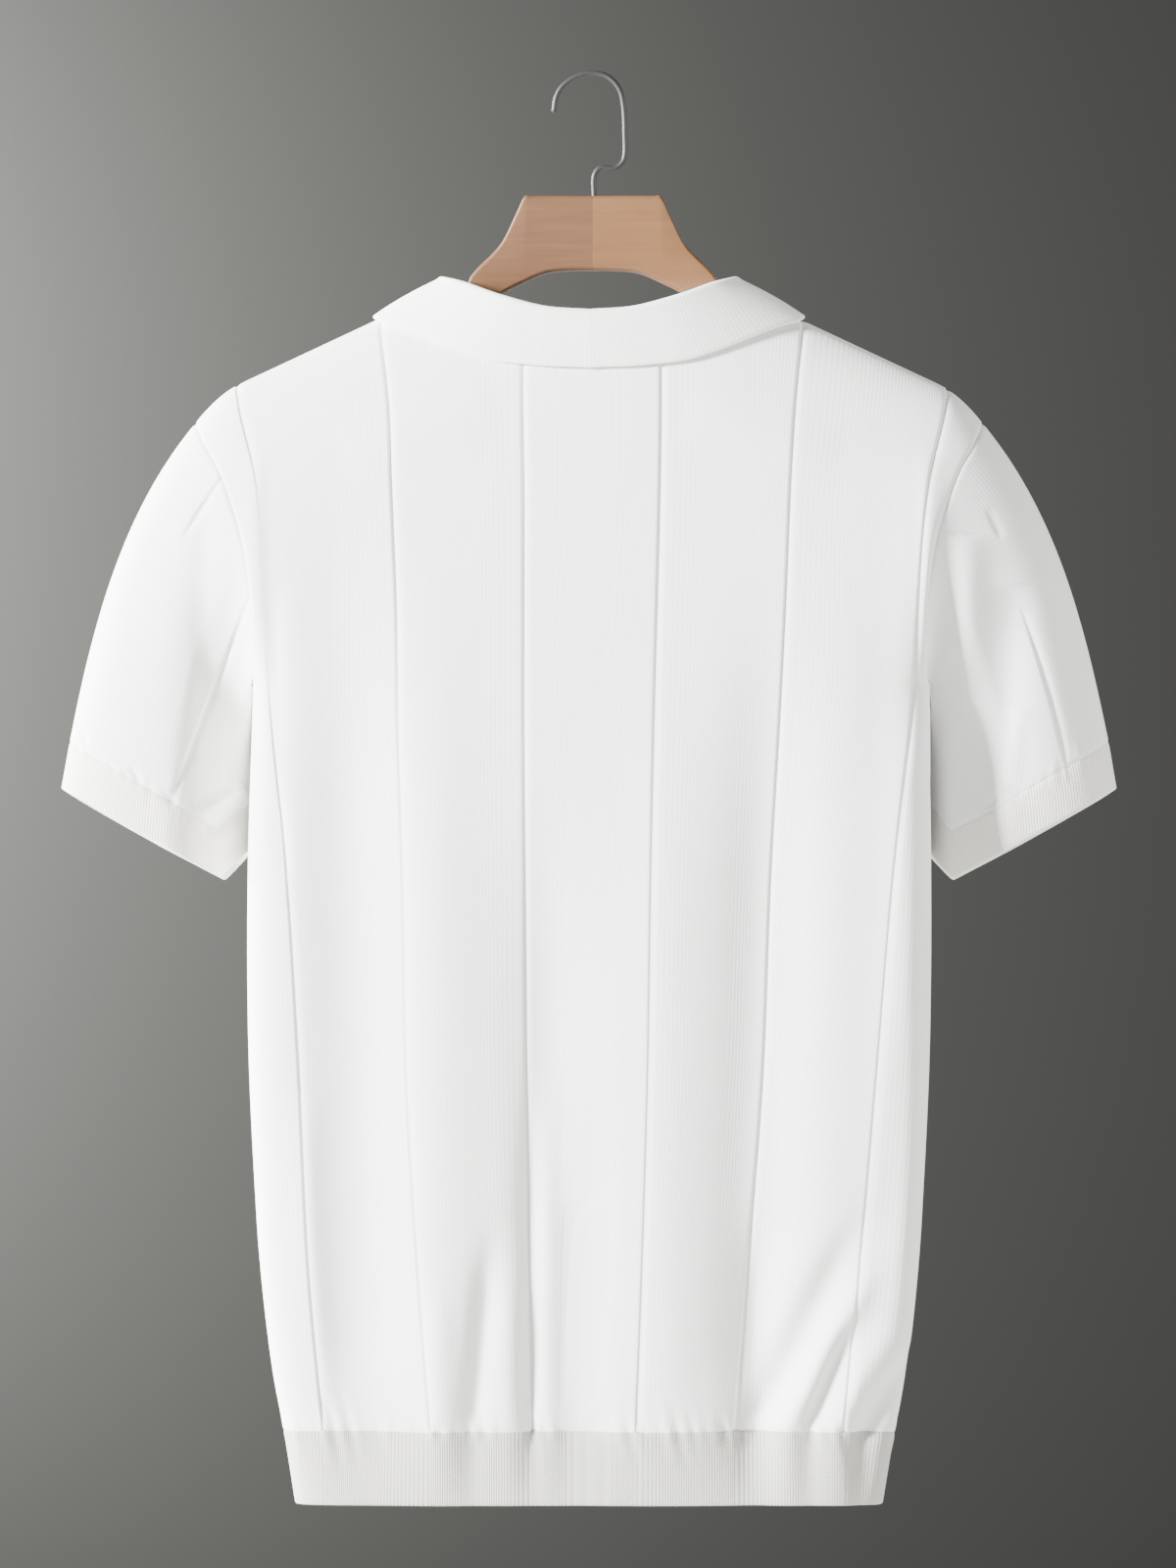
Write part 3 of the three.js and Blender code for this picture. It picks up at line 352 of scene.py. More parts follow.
def across_at(u, height):
    """Where a line of the cloth lies across the body: u runs from -1 at the left edge to 1 at the right."""
    round_ = half_width("round", height)
    edge = half_width("edge", height)
    g = [read(GROOVES, "height", f"g{i}", height) for i in range(6)]
    settle = ease((height - NECK_SETTLES_FROM) / NECK_SETTLES_OVER)
    neck_left = mix(mix(g[2], g[1], NECK_SHARE), -NECK_HALF, settle)
    neck_right = mix(mix(g[3], g[4], NECK_SHARE), NECK_HALF, settle)
    marks = [-edge, g[0], g[1], neck_left, g[2], g[3], neck_right, g[4], g[5], edge]
    at = np.array([-1, *GROOVE_AT[:2], -NECK_AT, *GROOVE_AT[2:4], NECK_AT, *GROOVE_AT[4:], 1])
    turns = np.stack([
        np.sign(m) * np.arcsin(np.minimum(1, np.abs(m) / round_) ** (ROUNDNESS / 2)) for m in marks
    ])
    i = np.clip(np.searchsorted(at, u, side="left") - 1, 0, len(at) - 2)
    share = (u - at[i]) / (at[i + 1] - at[i])
    pick = lambda k: np.take_along_axis(turns, np.broadcast_to(k, round_.shape)[None], 0)[0]
    turn = mix(pick(i), pick(i + 1), share)
    x = np.sign(turn) * round_ * np.abs(np.sin(turn)) ** (2 / ROUNDNESS)
    bulge = np.maximum(0, np.cos(turn)) ** (2 / ROUNDNESS)
    return x, bulge


def body_point(side, u, rise, start=BAND_HEIGHT):
    """A point of the smooth body. rise is 0 at the waistband seam, 1 at the underarm, 2 at the top edge."""
    u, rise = np.broadcast_arrays(np.asarray(u, float), np.asarray(rise, float))
    level = mix(start, UNDERARM, np.minimum(rise, 1))
    height = level
    x, bulge = across_at(u, height)
    dome = np.zeros_like(level)
    if rise.max() > 1:
        for _ in range(14):
            dome = np.maximum(rise - 1, 0) * dome_end(side, x)
            height = np.where(rise > 1, UNDERARM + (shoulder_top(x) - UNDERARM) * np.sin(dome), level)
            x, bulge = across_at(u, height)
    deep = read(BODY, "height", "back" if side < 0 else "front", level)
    return points(x, side * deep * np.cos(dome) * bulge, HEM_Z + height)


def grid_normals(grid, tube=False):
    """Directions square to a grid of rows by columns."""
    if tube:
        across = np.roll(grid, -1, 1) - np.roll(grid, 1, 1)
    else:
        across = np.gradient(grid, axis=1)
    return unit(np.cross(across, np.gradient(grid, axis=0)))


def facing(normals, grid, middle):
    """Turns normals to point away from a middle point."""
    away = ((grid - middle) * normals).sum(-1).mean()
    return normals if away > 0 else -normals


# Folds, creases, grooves and seams, each as a distance that the cloth moves out

def fold_out(folds, x, height, u):
    """The largest folds, which grow towards their lower end."""
    out = np.zeros_like(x)
    for fold in rows_of(folds):
        share = (fold["from_height"] - height) / (fold["from_height"] - fold["to_height"])
        eased = 1 - FOLD_EASED_BY * ease((share - FOLD_EASED_AT) / (1 - FOLD_EASED_AT))
        strength = np.where(share > 0, ease(share / FOLD_GROWN_BY) * eased, 0)
        away = (x - mix(fold["from_x"], fold["to_x"], np.clip(share, 0, 1))) / fold["spread"]
        out += fold["out"] * strength * np.exp(-away * away)
    return out * ease((1 - np.abs(u)) / FOLD_SIDE_MARGIN)


def crease_out(creases, x, height):
    """Smaller creases, each a soft line that fades at both ends, bows sideways and leans to one side."""
    out = np.zeros_like(x)
    for crease in rows_of(creases):
        run = np.array([crease["to_x"] - crease["from_x"], crease["to_height"] - crease["from_height"]])
        length = math.hypot(*run)
        along = ((x - crease["from_x"]) * run[0] + (height - crease["from_height"]) * run[1]) / length**2
        along = np.clip(along, 0, 1)
        body = 4 * along * (1 - along)
        beside = ((x - crease["from_x"]) * run[1] - (height - crease["from_height"]) * run[0]) / length
        beside = beside - crease["bow"] * body
        spread = crease["spread"] * (1 + crease["lean"] * np.tanh(beside / crease["spread"]))
        out += crease["out"] * np.sqrt(body) * np.exp(-((beside / spread) ** 2))
    return out


GROOVE_DEPTH = 1.0
GROOVE_DROP_WIDTH = 0.6
GROOVE_RISE_WIDTH = 2.4
SEAM_DEPTH = 0.7
SEAM_WIDTH = 1.2
BAND_SEAM_SHARE = 0.5


def groove_out(arc, arc_at_groove):
    """A knitted groove: the cloth drops steeply from its left and rises softly to its right."""
    d = arc - arc_at_groove
    width = np.where(d < 0, GROOVE_DROP_WIDTH, GROOVE_RISE_WIDTH)
    return -GROOVE_DEPTH * np.exp(-((d / width) ** 2))


def seam_out(distance):
    """The furrow where two pieces are linked, by the distance from the edge."""
    return -SEAM_DEPTH * np.exp(-((distance / SEAM_WIDTH) ** 2))


def arc_across(grid):
    steps = np.linalg.norm(np.diff(grid, axis=1), axis=-1)
    return np.concatenate([np.zeros((len(grid), 1)), np.cumsum(steps, axis=1)], axis=1)


def arc_along(grid):
    steps = np.linalg.norm(np.diff(grid, axis=0), axis=-1)
    return np.concatenate([np.zeros((1, grid.shape[1])), np.cumsum(steps, axis=0)], axis=0)


# Meshes

RIM_ANGLES = [45 * DEGREE, 90 * DEGREE, 135 * DEGREE]


def make_mesh(name, vertices, faces, material, uvs=None):
    """A smooth-shaded object from vertices in millimetres. uvs holds one pair for each face corner."""
    mesh = bpy.data.meshes.new(name)
    mesh.from_pydata((np.asarray(vertices) * MM).tolist(), [], faces)
    mesh.polygons.foreach_set("use_smooth", [True] * len(mesh.polygons))
    if uvs is not None:
        mesh.uv_layers.new(name="cloth").data.foreach_set("uv", np.asarray(uvs, float).ravel())
    mesh.materials.append(material)
    mesh.update()
    piece = bpy.data.objects.new(name, mesh)
    bpy.context.scene.collection.objects.link(piece)
    return piece


def signed_volume(vertices, quads):
    a, b, c, d = (vertices[quads[:, k]] for k in range(4))
    return ((a * np.cross(b, c)).sum(-1) + (a * np.cross(c, d)).sum(-1)).sum()


def shell(name, outer, inner, material, tube=False, wale=None):
    """A thin wall between two grids of rows by columns, with its first and last rows rounded off."""
    rows, columns = outer.shape[:2]
    middle, half = (outer + inner) / 2, (outer - inner) / 2
    thick = np.linalg.norm(half, axis=-1, keepdims=True)

    def rim(row, before):
        past = unit(middle[row] - middle[before])
        turn = [half[row] * math.cos(a) + past * thick[row] * math.sin(a) for a in RIM_ANGLES]
        return np.stack([middle[row] + t for t in turn])

    loop = np.concatenate([outer, rim(-1, -2), inner[::-1], rim(0, 1)[::-1]])
    arc = arc_along(outer)
    if wale is None:
        wale = arc_across(outer)[rows // 2]
    closing = wale[-1] + np.linalg.norm(outer[rows // 2, 0] - outer[rows // 2, -1])
    wales = np.append(wale, closing)
    up = np.concatenate([arc, arc[-1:].repeat(len(RIM_ANGLES), 0), arc[::-1], arc[:1].repeat(len(RIM_ANGLES), 0)])
    up = np.concatenate([up, up[:, :1]], axis=1)
    count = len(loop)
    r, c = np.meshgrid(np.arange(count), np.arange(columns if tube else columns - 1), indexing="ij")
    r, c = r.ravel(), c.ravel()
    r2, c2 = (r + 1) % count, (c + 1) % columns
    quads = np.stack([r * columns + c, r * columns + c2, r2 * columns + c2, r2 * columns + c], 1)
    uvs = np.stack([
        np.stack([wales[c], up[r, c]], 1),
        np.stack([wales[c + 1], up[r, c + 1]], 1),
        np.stack([wales[c + 1], up[r2, c + 1]], 1),
        np.stack([wales[c], up[r2, c]], 1),
    ], 1)
    vertices = loop.reshape(-1, 3)
    if not tube:
        side_quads, side_uvs = [], []
        for column, flip in ((0, True), (columns - 1, False)):
            ring = [k * columns + column for k in range(count)]
            for k in range(rows - 1):
                face = [ring[k], ring[k + 1], ring[rows + len(RIM_ANGLES) + rows - 2 - k],
                        ring[rows + len(RIM_ANGLES) + rows - 1 - k]]
                side_quads.append(face[::-1] if flip else face)
                side_uvs.append([[wales[column], arc[k, column]]] * 4)
        quads = np.concatenate([quads, np.array(side_quads)])
        uvs = np.concatenate([uvs, np.array(side_uvs)])
    if signed_volume(vertices, quads) < 0:
        quads, uvs = quads[:, ::-1], uvs[:, ::-1]
    faces = quads.tolist()
    uvs = (uvs.reshape(-1, 2) * MM).tolist()
    if not tube:
        for column in (0, columns - 1):
            for first in (rows - 1, 2 * rows + len(RIM_ANGLES) - 1):
                ring = [((first + k) % count) * columns + column for k in range(len(RIM_ANGLES) + 2)]
                faces.append(ring if column else ring[::-1])
                uvs += [[wales[column] * MM, 0]] * len(ring)
    return make_mesh(name, vertices, faces, material, uvs)


def tube_along(name, line, radius, material, sides=20, closed=False):
    """A round wire along a line of points in millimetres, with rounded ends."""
    line = np.asarray(line, float)
    along = unit(np.gradient(line, axis=0))
    across = unit(np.cross(along, [0.0, 1.0, 0.0]))
    up = unit(np.cross(across, along))
    rings = []
    turns = np.arange(sides) * 2 * math.pi / sides
    spread = np.full(len(line), float(radius))
    circle = np.cos(turns)[None, :, None] * across[:, None] + np.sin(turns)[None, :, None] * up[:, None]
    body = line[:, None] + circle * spread[:, None, None]
    for end, sign in ((0, -1), (-1, 1)):
        caps = []
        for angle in (20, 40, 60, 80):
            a = angle * DEGREE
            centre = line[end] + sign * along[end] * radius * math.sin(a)
            caps.append(centre + circle[end] * radius * math.cos(a))
        rings.append(np.stack(caps))
    grid = np.concatenate([rings[0][::-1], body, rings[1]])
    return loft(name, grid, material)


def loft(name, grid, material):
    """A closed solid through rings of points, with a flat face at each end."""
    count, sides = grid.shape[:2]
    r, c = np.meshgrid(np.arange(count - 1), np.arange(sides), indexing="ij")
    r, c = r.ravel(), c.ravel()
    c2 = (c + 1) % sides
    quads = np.stack([r * sides + c, r * sides + c2, (r + 1) * sides + c2, (r + 1) * sides + c], 1)
    vertices = grid.reshape(-1, 3)
    centred = vertices - vertices.mean(0)
    caps = [list(range(sides))[::-1], [(count - 1) * sides + k for k in range(sides)]]
    if signed_volume(centred, quads) < 0:
        quads = quads[:, ::-1]
        caps = [cap[::-1] for cap in caps]
    return make_mesh(name, vertices, quads.tolist() + caps, material)


# Materials

def material(name, color, roughness):
    """A new material with a plain surface shader, its nodes and a way to link them."""
    made = bpy.data.materials.new(name)
    made.use_nodes = True
    nodes = made.node_tree.nodes
    surface = nodes["Principled BSDF"]
    surface.inputs["Base Color"].default_value = (*color, 1)
    surface.inputs["Roughness"].default_value = roughness
    return made, nodes, made.node_tree.links.new, surface


def math_node(nodes, link, operation, a, b=None):
    """A math node fed by sockets or plain numbers."""
    node = nodes.new("ShaderNodeMath")
    node.operation = operation
    for socket, value in zip(node.inputs, (a, b)):
        if isinstance(value, bpy.types.NodeSocket):
            link(value, socket)
        elif value is not None:
            socket.default_value = value
    return node.outputs[0]


def noise(nodes, link, where, scale, detail=2, roughness=0.5):
    node = nodes.new("ShaderNodeTexNoise")
    node.inputs["Scale"].default_value = scale
    node.inputs["Detail"].default_value = detail
    node.inputs["Roughness"].default_value = roughness
    link(where, node.inputs["Vector"])
    return node.outputs["Fac"]


def blend(nodes, link, factor, dark, light):
    """A colour between two, by a factor."""
    node = nodes.new("ShaderNodeMix")
    node.data_type = "RGBA"
    node.inputs["A"].default_value = (*dark, 1)
    node.inputs["B"].default_value = (*light, 1)
    link(factor, node.inputs["Factor"])
    return node.outputs["Result"]


def bump(nodes, link, height, distance, strength=1, normal=None):
    node = nodes.new("ShaderNodeBump")
    node.inputs["Distance"].default_value = distance
    node.inputs["Strength"].default_value = strength
    link(height, node.inputs["Height"])
    if normal is not None:
        link(normal, node.inputs["Normal"])
    return node.outputs["Normal"]


KNIT_LIGHT = (0.86, 0.855, 0.84)
KNIT_DARK = (0.82, 0.815, 0.8)
RIB_LIGHT = (0.8, 0.785, 0.725)
RIB_DARK = (0.74, 0.722, 0.66)
# The waistband's colours are painted shade: the white rib darkened to about half, to stand in for the shade the
# band sits in
BAND_PAINTED_SHADE_LIGHT = (0.495, 0.487, 0.445)
BAND_PAINTED_SHADE_DARK = (0.435, 0.427, 0.387)
WALE = 2 * MM
COURSE = 1.5 * MM
RIB_PITCH = 1.9 * MM
STITCH_RELIEF = 0.09 * MM
RIB_RELIEF = 0.32 * MM


def knit_material(name, light, dark, rib_pitch=None):
    """Fine cotton knit: wales of small loops, or ribs, on the cloth's own map, with soft uneven tone."""
    made, nodes, link, surface = material(name, light, 0.88)
    surface.inputs["Sheen Weight"].default_value = 0.12
    surface.inputs["Sheen Roughness"].default_value = 0.5
    surface.inputs["Specular IOR Level"].default_value = 0.25
    where = nodes.new("ShaderNodeUVMap")
    where.uv_map = "cloth"
    split = nodes.new("ShaderNodeSeparateXYZ")
    link(where.outputs["UV"], split.inputs[0])
    across, along = split.outputs["X"], split.outputs["Y"]
    place = nodes.new("ShaderNodeTexCoord").outputs["Object"]

    pitch = rib_pitch or WALE
    turn = math_node(nodes, link, "MULTIPLY", across, math.pi / pitch)
    wale = math_node(nodes, link, "ABSOLUTE", math_node(nodes, link, "SINE", turn))
    slant = math_node(nodes, link, "MULTIPLY", wale, 0.35)
    course = math_node(nodes, link, "ADD", math_node(nodes, link, "DIVIDE", along, COURSE), slant)
    loops = math_node(nodes, link, "ABSOLUTE", math_node(nodes, link, "SINE",
                      math_node(nodes, link, "MULTIPLY", course, math.pi)))
    height = math_node(nodes, link, "ADD", wale, math_node(nodes, link, "MULTIPLY", loops, 0.35))
    uneven = noise(nodes, link, place, 900, 3)
    height = math_node(nodes, link, "ADD", height, math_node(nodes, link, "MULTIPLY", uneven, 0.5))
    relief = bump(nodes, link, height, RIB_RELIEF if rib_pitch else STITCH_RELIEF, 0.5)
    relief = bump(nodes, link, noise(nodes, link, place, 45, 3), 0.5 * MM, 0.35, relief)
    link(relief, surface.inputs["Normal"])
    tone = noise(nodes, link, place, 28, 4, 0.6)
    link(blend(nodes, link, tone, dark, light), surface.inputs["Base Color"])
    return made


def wood_material(name, light, dark, lean):
    """Pale varnished wood with fine long grain."""
    made, nodes, link, surface = material(name, light, 0.5)
    surface.inputs["Specular IOR Level"].default_value = 0.25
    place = nodes.new("ShaderNodeTexCoord")
    turned = nodes.new("ShaderNodeMapping")
    turned.inputs["Rotation"].default_value = (0, lean, 0)
    turned.inputs["Scale"].default_value = (6, 60, 90)
    link(place.outputs["Object"], turned.inputs["Vector"])
    grain = noise(nodes, link, turned.outputs["Vector"], 2.2, 6, 0.65)
    fine = nodes.new("ShaderNodeMapping")
    fine.inputs["Rotation"].default_value = (0, lean, 0)
    fine.inputs["Scale"].default_value = (30, 900, 1200)
    link(place.outputs["Object"], fine.inputs["Vector"])
    pores = noise(nodes, link, fine.outputs["Vector"], 1, 2)
    both = math_node(nodes, link, "ADD", math_node(nodes, link, "MULTIPLY", grain, 0.75),
                     math_node(nodes, link, "MULTIPLY", pores, 0.25))
    link(blend(nodes, link, both, dark, light), surface.inputs["Base Color"])
    link(bump(nodes, link, pores, 0.1 * MM, 0.3), surface.inputs["Normal"])
    surface.inputs["Coat Weight"].default_value = 0.08
    surface.inputs["Coat Roughness"].default_value = 0.3
    return made


def steel_material():
    made, nodes, link, surface = material("hook_steel", (0.045, 0.045, 0.043), 0.5)
    surface.inputs["Metallic"].default_value = 0.55
    surface.inputs["Specular IOR Level"].default_value = 0.2
    place = nodes.new("ShaderNodeTexCoord").outputs["Object"]
    link(bump(nodes, link, noise(nodes, link, place, 700, 3), 0.05 * MM, 0.3), surface.inputs["Normal"])
    return made


def button_material():
    made, nodes, link, surface = material("button_shell", (0.8, 0.78, 0.74), 0.28)
    surface.inputs["Coat Weight"].default_value = 0.4
    place = nodes.new("ShaderNodeTexCoord").outputs["Object"]
    cloud = noise(nodes, link, place, 220, 3)
    link(blend(nodes, link, cloud, (0.74, 0.715, 0.67), (0.86, 0.845, 0.81)), surface.inputs["Base Color"])
    return made


STAGE_RADIUS = 13.0
FLOOR_Z = -2.3
FLOOR_GREY = (0.5, 0.5, 0.49)
# Painted shade: the wall beyond the shirt's front is coloured near black to stand in for a dim, unlit backdrop;
# its lit patch comes from the wall lamp
WALL_PAINTED_SHADE = (0.007, 0.007, 0.0066)
WALL_PALE = (0.16, 0.16, 0.156)
WALL_FROM = 0.3
DARK_WALL_FROM = 0.55
DARK_WALL_OVER = 0.3


def stage_material():
    """A pale floor that runs into a wall, painted near black as shade beyond the shirt's front and paler
    elsewhere.
    """
    made, nodes, link, surface = material("backdrop", WALL_PAINTED_SHADE, 0.95)
    place = nodes.new("ShaderNodeTexCoord").outputs["Object"]
    split = nodes.new("ShaderNodeSeparateXYZ")
    link(place, split.inputs[0])
    surface.inputs["Specular IOR Level"].default_value = 0

    def share_of(value, start, over):
        share = math_node(nodes, link, "SUBTRACT", value, start)
        share = math_node(nodes, link, "DIVIDE", share, over)
        return math_node(nodes, link, "MINIMUM", math_node(nodes, link, "MAXIMUM", share, 0), 1)

    dark = share_of(split.outputs["Y"], DARK_WALL_FROM * STAGE_RADIUS, DARK_WALL_OVER * STAGE_RADIUS)
    wall = blend(nodes, link, dark, WALL_PALE, WALL_PAINTED_SHADE)
    stage_colour = nodes.new("ShaderNodeMix")
    stage_colour.data_type = "RGBA"
    stage_colour.inputs["A"].default_value = (*FLOOR_GREY, 1)
    link(wall, stage_colour.inputs["B"])
    link(share_of(split.outputs["Z"], FLOOR_Z, WALL_FROM), stage_colour.inputs["Factor"])
    link(stage_colour.outputs["Result"], surface.inputs["Base Color"])
    return made


knit = knit_material("fine_knit", KNIT_LIGHT, KNIT_DARK)
rib = knit_material("rib_knit", RIB_LIGHT, RIB_DARK, RIB_PITCH)
# A darker copy of the cuff rib for the waistband: painted shade
band_rib_painted_shade = knit_material("band_rib_painted_shade", BAND_PAINTED_SHADE_LIGHT, BAND_PAINTED_SHADE_DARK, RIB_PITCH)
collar_knit = knit_material("collar_knit", (0.92, 0.91, 0.885), KNIT_LIGHT)
wood_left = wood_material("wood_left", (0.16, 0.08, 0.04), (0.062, 0.029, 0.014), -0.5)
wood_right = wood_material("wood_right", (0.193, 0.096, 0.043), (0.09, 0.042, 0.018), 0.5)
steel = steel_material()
button_shell = button_material()

shirt_shift = np.array([ASIDE, 0, 0])


def finish_cloth(piece, node):
    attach(piece, "root")
    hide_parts(node)
    return piece


# The body's panels

GROOVE_OFFSETS = [-4, -2, -1.2, -0.8, -0.4, 0, 0.6, 1.3, 2.1, 3, 4]
U_PER_MM = 1 / 225
COLUMN_GAP = 3.4 * U_PER_MM


def panel_columns():
    """Columns across a panel, close together at the grooves and at both edges."""
    columns = []
    marks = [-1, *GROOVE_AT, 1]
    for mark in marks:
        columns += [mark + d * U_PER_MM for d in GROOVE_OFFSETS]
    for left, right in zip(marks, marks[1:]):
        start, end = left + 4 * U_PER_MM, right - 4 * U_PER_MM
        count = max(2, round((end - start) / COLUMN_GAP))
        columns += list(np.linspace(start, end, count + 1)[1:-1])
    columns = np.unique(np.round([c for c in columns if -1 <= c <= 1], 6))
    return columns


PANEL_U = panel_columns()
PANEL_RISE = np.concatenate([
    [0, 0.0015, 0.003, 0.005],
    np.linspace(0.01, 1, 122),
    np.linspace(1, 1.985, 90)[1:],
    [1.99, 1.994, 1.997, 2],
])

BACK_CREASES = table(
    "from_x from_height to_x to_height spread bow lean out",
    (-204, 640, -190, 420, 8, 4, 0.3, 2),
    (-192, 560, -186, 380, 7, 3, 0.2, -1.6),
    (206, 640, 196, 440, 8, -4, -0.3, 1.8),
    (190, 300, 176, 120, 7, -3, 0, -1.6),
    (-172, 250, -160, 60, 9, 4, 0, 1.8),
    (-150, 640, -60, 668, 18, 4, 0, 1.2),
    (150, 640, 60, 668, 18, -4, 0, 1.2),
)
FRONT_CREASES = table(
    "from_x from_height to_x to_height spread bow lean out",
    (204, 640, 190, 420, 8, -4, -0.3, 2),
    (192, 560, 186, 380, 7, -3, -0.2, -1.6),
    (-206, 640, -196, 440, 8, 4, 0.3, 1.8),
    (-190, 300, -176, 120, 7, 3, 0, -1.6),
    (172, 250, 160, 60, 9, -4, 0, 1.8),
)

# The small upright gathers above the waistband: pitch, height that they stand out and how far up they reach
GATHER_PITCHES = [9.5, 14.2, 23.7]
GATHER_SHARES = [0.5, 0.32, 0.18]
GATHER_OUT = 0.9
GATHER_REACH = 9


def gather_out(arc, up, seed):
    """Small upright gathers that fade away from a linked seam, uneven in size and reach."""
    waves, taller = np.zeros_like(arc), np.zeros_like(arc)
    for k, (pitch, share) in enumerate(zip(GATHER_PITCHES, GATHER_SHARES)):
        turn = arc * 2 * math.pi / pitch + seed * (k + 1)
        waves += share * np.sin(turn + 1.3 * np.sin(arc / 31 + seed + k))
        taller += np.sin(arc / (17 + 9 * k) + 2.1 * seed + k)
    reach = GATHER_REACH * (1 + 0.3 * taller)
    return GATHER_OUT * waves * np.exp(-((up / reach) ** 2))


def panel(side):
    u, rise = PANEL_U[None, :], PANEL_RISE[:, None]
    grid = body_point(side, u, rise)
    normals = grid_normals(grid)
    normals = normals * np.sign(normals[..., 1].mean() * side)
    below = PANEL_RISE <= 1
    for column in (0, -1):
        normals[below, column] = (PANEL_U[column], 0, 0)
    x, height = grid[..., 0], grid[..., 2] - HEM_Z
    arc = arc_across(grid)
    up = arc_along(grid)
    out = fold_out(BACK_FOLDS if side < 0 else FRONT_FOLDS, x, height, u)
    out += crease_out(BACK_CREASES if side < 0 else FRONT_CREASES, x, height)
    for i, mark in enumerate(GROOVE_AT):
        column = int(np.argmin(np.abs(PANEL_U - mark)))
        shows = read(GROOVE_SHOWS, "height", f"g{i}", height[:, column:column + 1])
        out += shows * groove_out(arc, arc[:, column:column + 1])
    out += seam_out(arc) + seam_out(arc[:, -1:] - arc)
    out += BAND_SEAM_SHARE * seam_out(up) + seam_out(up[-1:] - up)
    out += gather_out(arc, up, 1 - side)
    outer = grid + normals * out[..., None]
    return outer, outer - normals * CLOTH, normals


back_outer, back_inner, back_normals = panel(-1)
front_outer, front_inner, front_normals = panel(1)
PANEL_WALE = PANEL_U * 235
back = shell("shirt_back", back_outer + shirt_shift, back_inner + shirt_shift, knit, wale=PANEL_WALE)
front = shell("shirt_front", front_outer + shirt_shift, front_inner + shirt_shift, knit, wale=PANEL_WALE)
finish_cloth(back, "back")
finish_cloth(front, "front")


# The ribbed waistband

def waistband(side):
    heights = np.concatenate([np.linspace(0, BAND_HEIGHT - 2.5, 13), [BAND_HEIGHT - 1.6, BAND_HEIGHT - 0.8, BAND_HEIGHT]])
    u = PANEL_U[None, :]
    level = heights[:, None]
    grid = body_point(side, u, np.zeros_like(level), level)
    normals = grid_normals(grid)
    normals = normals * np.sign(normals[..., 1].mean() * side)
    for column in (0, -1):
        normals[:, column] = (PANEL_U[column], 0, 0)
    x = grid[..., 0]
    arc = arc_across(grid)
    out = fold_out(BACK_FOLDS if side < 0 else FRONT_FOLDS, x, grid[..., 2] - HEM_Z, u)
    out *= mix(FOLD_AT_HEM, 1, level / BAND_HEIGHT)
    out += seam_out(arc) + seam_out(arc[:, -1:] - arc) + BAND_SEAM_SHARE * seam_out(BAND_HEIGHT - level)
    out += gather_out(arc, BAND_HEIGHT - level, 1 - side)
    outer = grid + normals * out[..., None]
    return outer + shirt_shift, outer - normals * RIB_CLOTH + shirt_shift


for which, side in (("back", -1), ("front", 1)):
    outer, inner = waistband(side)
    # The waistband wears the darker rib, whose tone is painted shade
    band = shell(f"shirt_band_{which}", outer, inner, band_rib_painted_shade, wale=PANEL_WALE)
    finish_cloth(band, f"waistband_{which}")


# Sleeves and cuffs

SLEEVE_ROW_COUNT = 100
CUFF_ROW_COUNT = 14
ARMHOLE_CLEAR = 0.45
SLEEVE_SEAM_BLEND = 14
CUFF_GATHER_SHARE = 0.35

SLEEVE_CREASES = {
    -1: table(
        "back from_x from_height to_x to_height spread bow lean out",
        (1, -234, 620, -230, 450, 8, 3, 0, -1.3),
        (1, -252, 560, -262, 440, 16, -3, 0, 1.6),
        (1, -205, 556, -257, 423, 1.7, 0, -0.6, -1.5),
        (1, -212, 520, -210, 404, 8, 0, 0, 1.8),
        (1, -222, 626, -247, 588, 1.7, 1, -0.5, -1.2),
        (1, -240, 420, -212, 437, 4.2, 1, 0, 3.4),
        (1, -236, 409, -208, 423, 4.2, 1, 0, -3.2),
        (1, -311, 470, -306, 462, 2, 0, 0, -1.2),
        (1, -280, 448, -273, 439, 2, 0, 0, -1.3),
        (1, -259, 433, -252, 426, 2.2, 0, 0, -1.2),
        (1, -300, 560, -312, 470, 12, 3, 0, -1),
        (0, -226, 600, -240, 430, 12, 4, 0, -2.6),
        (0, -262, 560, -286, 450, 15, -4, 0, 2),
        (0, -236, 440, -214, 452, 6, 1, 0, 2),
    ),
    1: table(
        "back from_x from_height to_x to_height spread bow lean out",
        (1, 211, 560, 209, 398, 7, 2, 0, -2.2),
        (1, 230, 590, 221, 330, 12, -2, 0, 6),
        (1, 258, 560, 255, 424, 13, 2, 0, -2.6),
        (1, 229, 664, 240, 650, 3.5, 0, 0, -1.4),
        (1, 238, 668, 247, 655, 3.5, 0, 0, 1),
        (1, 243, 605, 251, 588, 2.2, 0.3, -0.4, -0.6),
        (1, 264, 545, 294, 438, 1.7, -2, -0.6, -1),
        (1, 264, 486, 259, 436, 6, 2, 0, 1.3),
        (1, 250, 430, 240, 422, 2.2, 0, 0, -0.9),
        (1, 288, 560, 304, 460, 12, -2, 0, -1),
        (0, 228, 590, 238, 430, 12, -4, 0, -2.6),
        (0, 262, 560, 284, 450, 15, 4, 0, 2.2),
        (0, 238, 442, 214, 452, 6, 1, 0, 2),
    ),
}


def body_normal(side, u, rise):
    step = 1e-3
    at = np.clip(u, 1.5 * step - 1, 1 - 1.5 * step)
    level = np.clip(rise, 2 * step, 2 - 2 * step)
    across = body_point(side, at + step, level) - body_point(side, at - step, level)
    along = body_point(side, at, level + step) - body_point(side, at, level - step)
    return unit(np.cross(across, along) * -side)


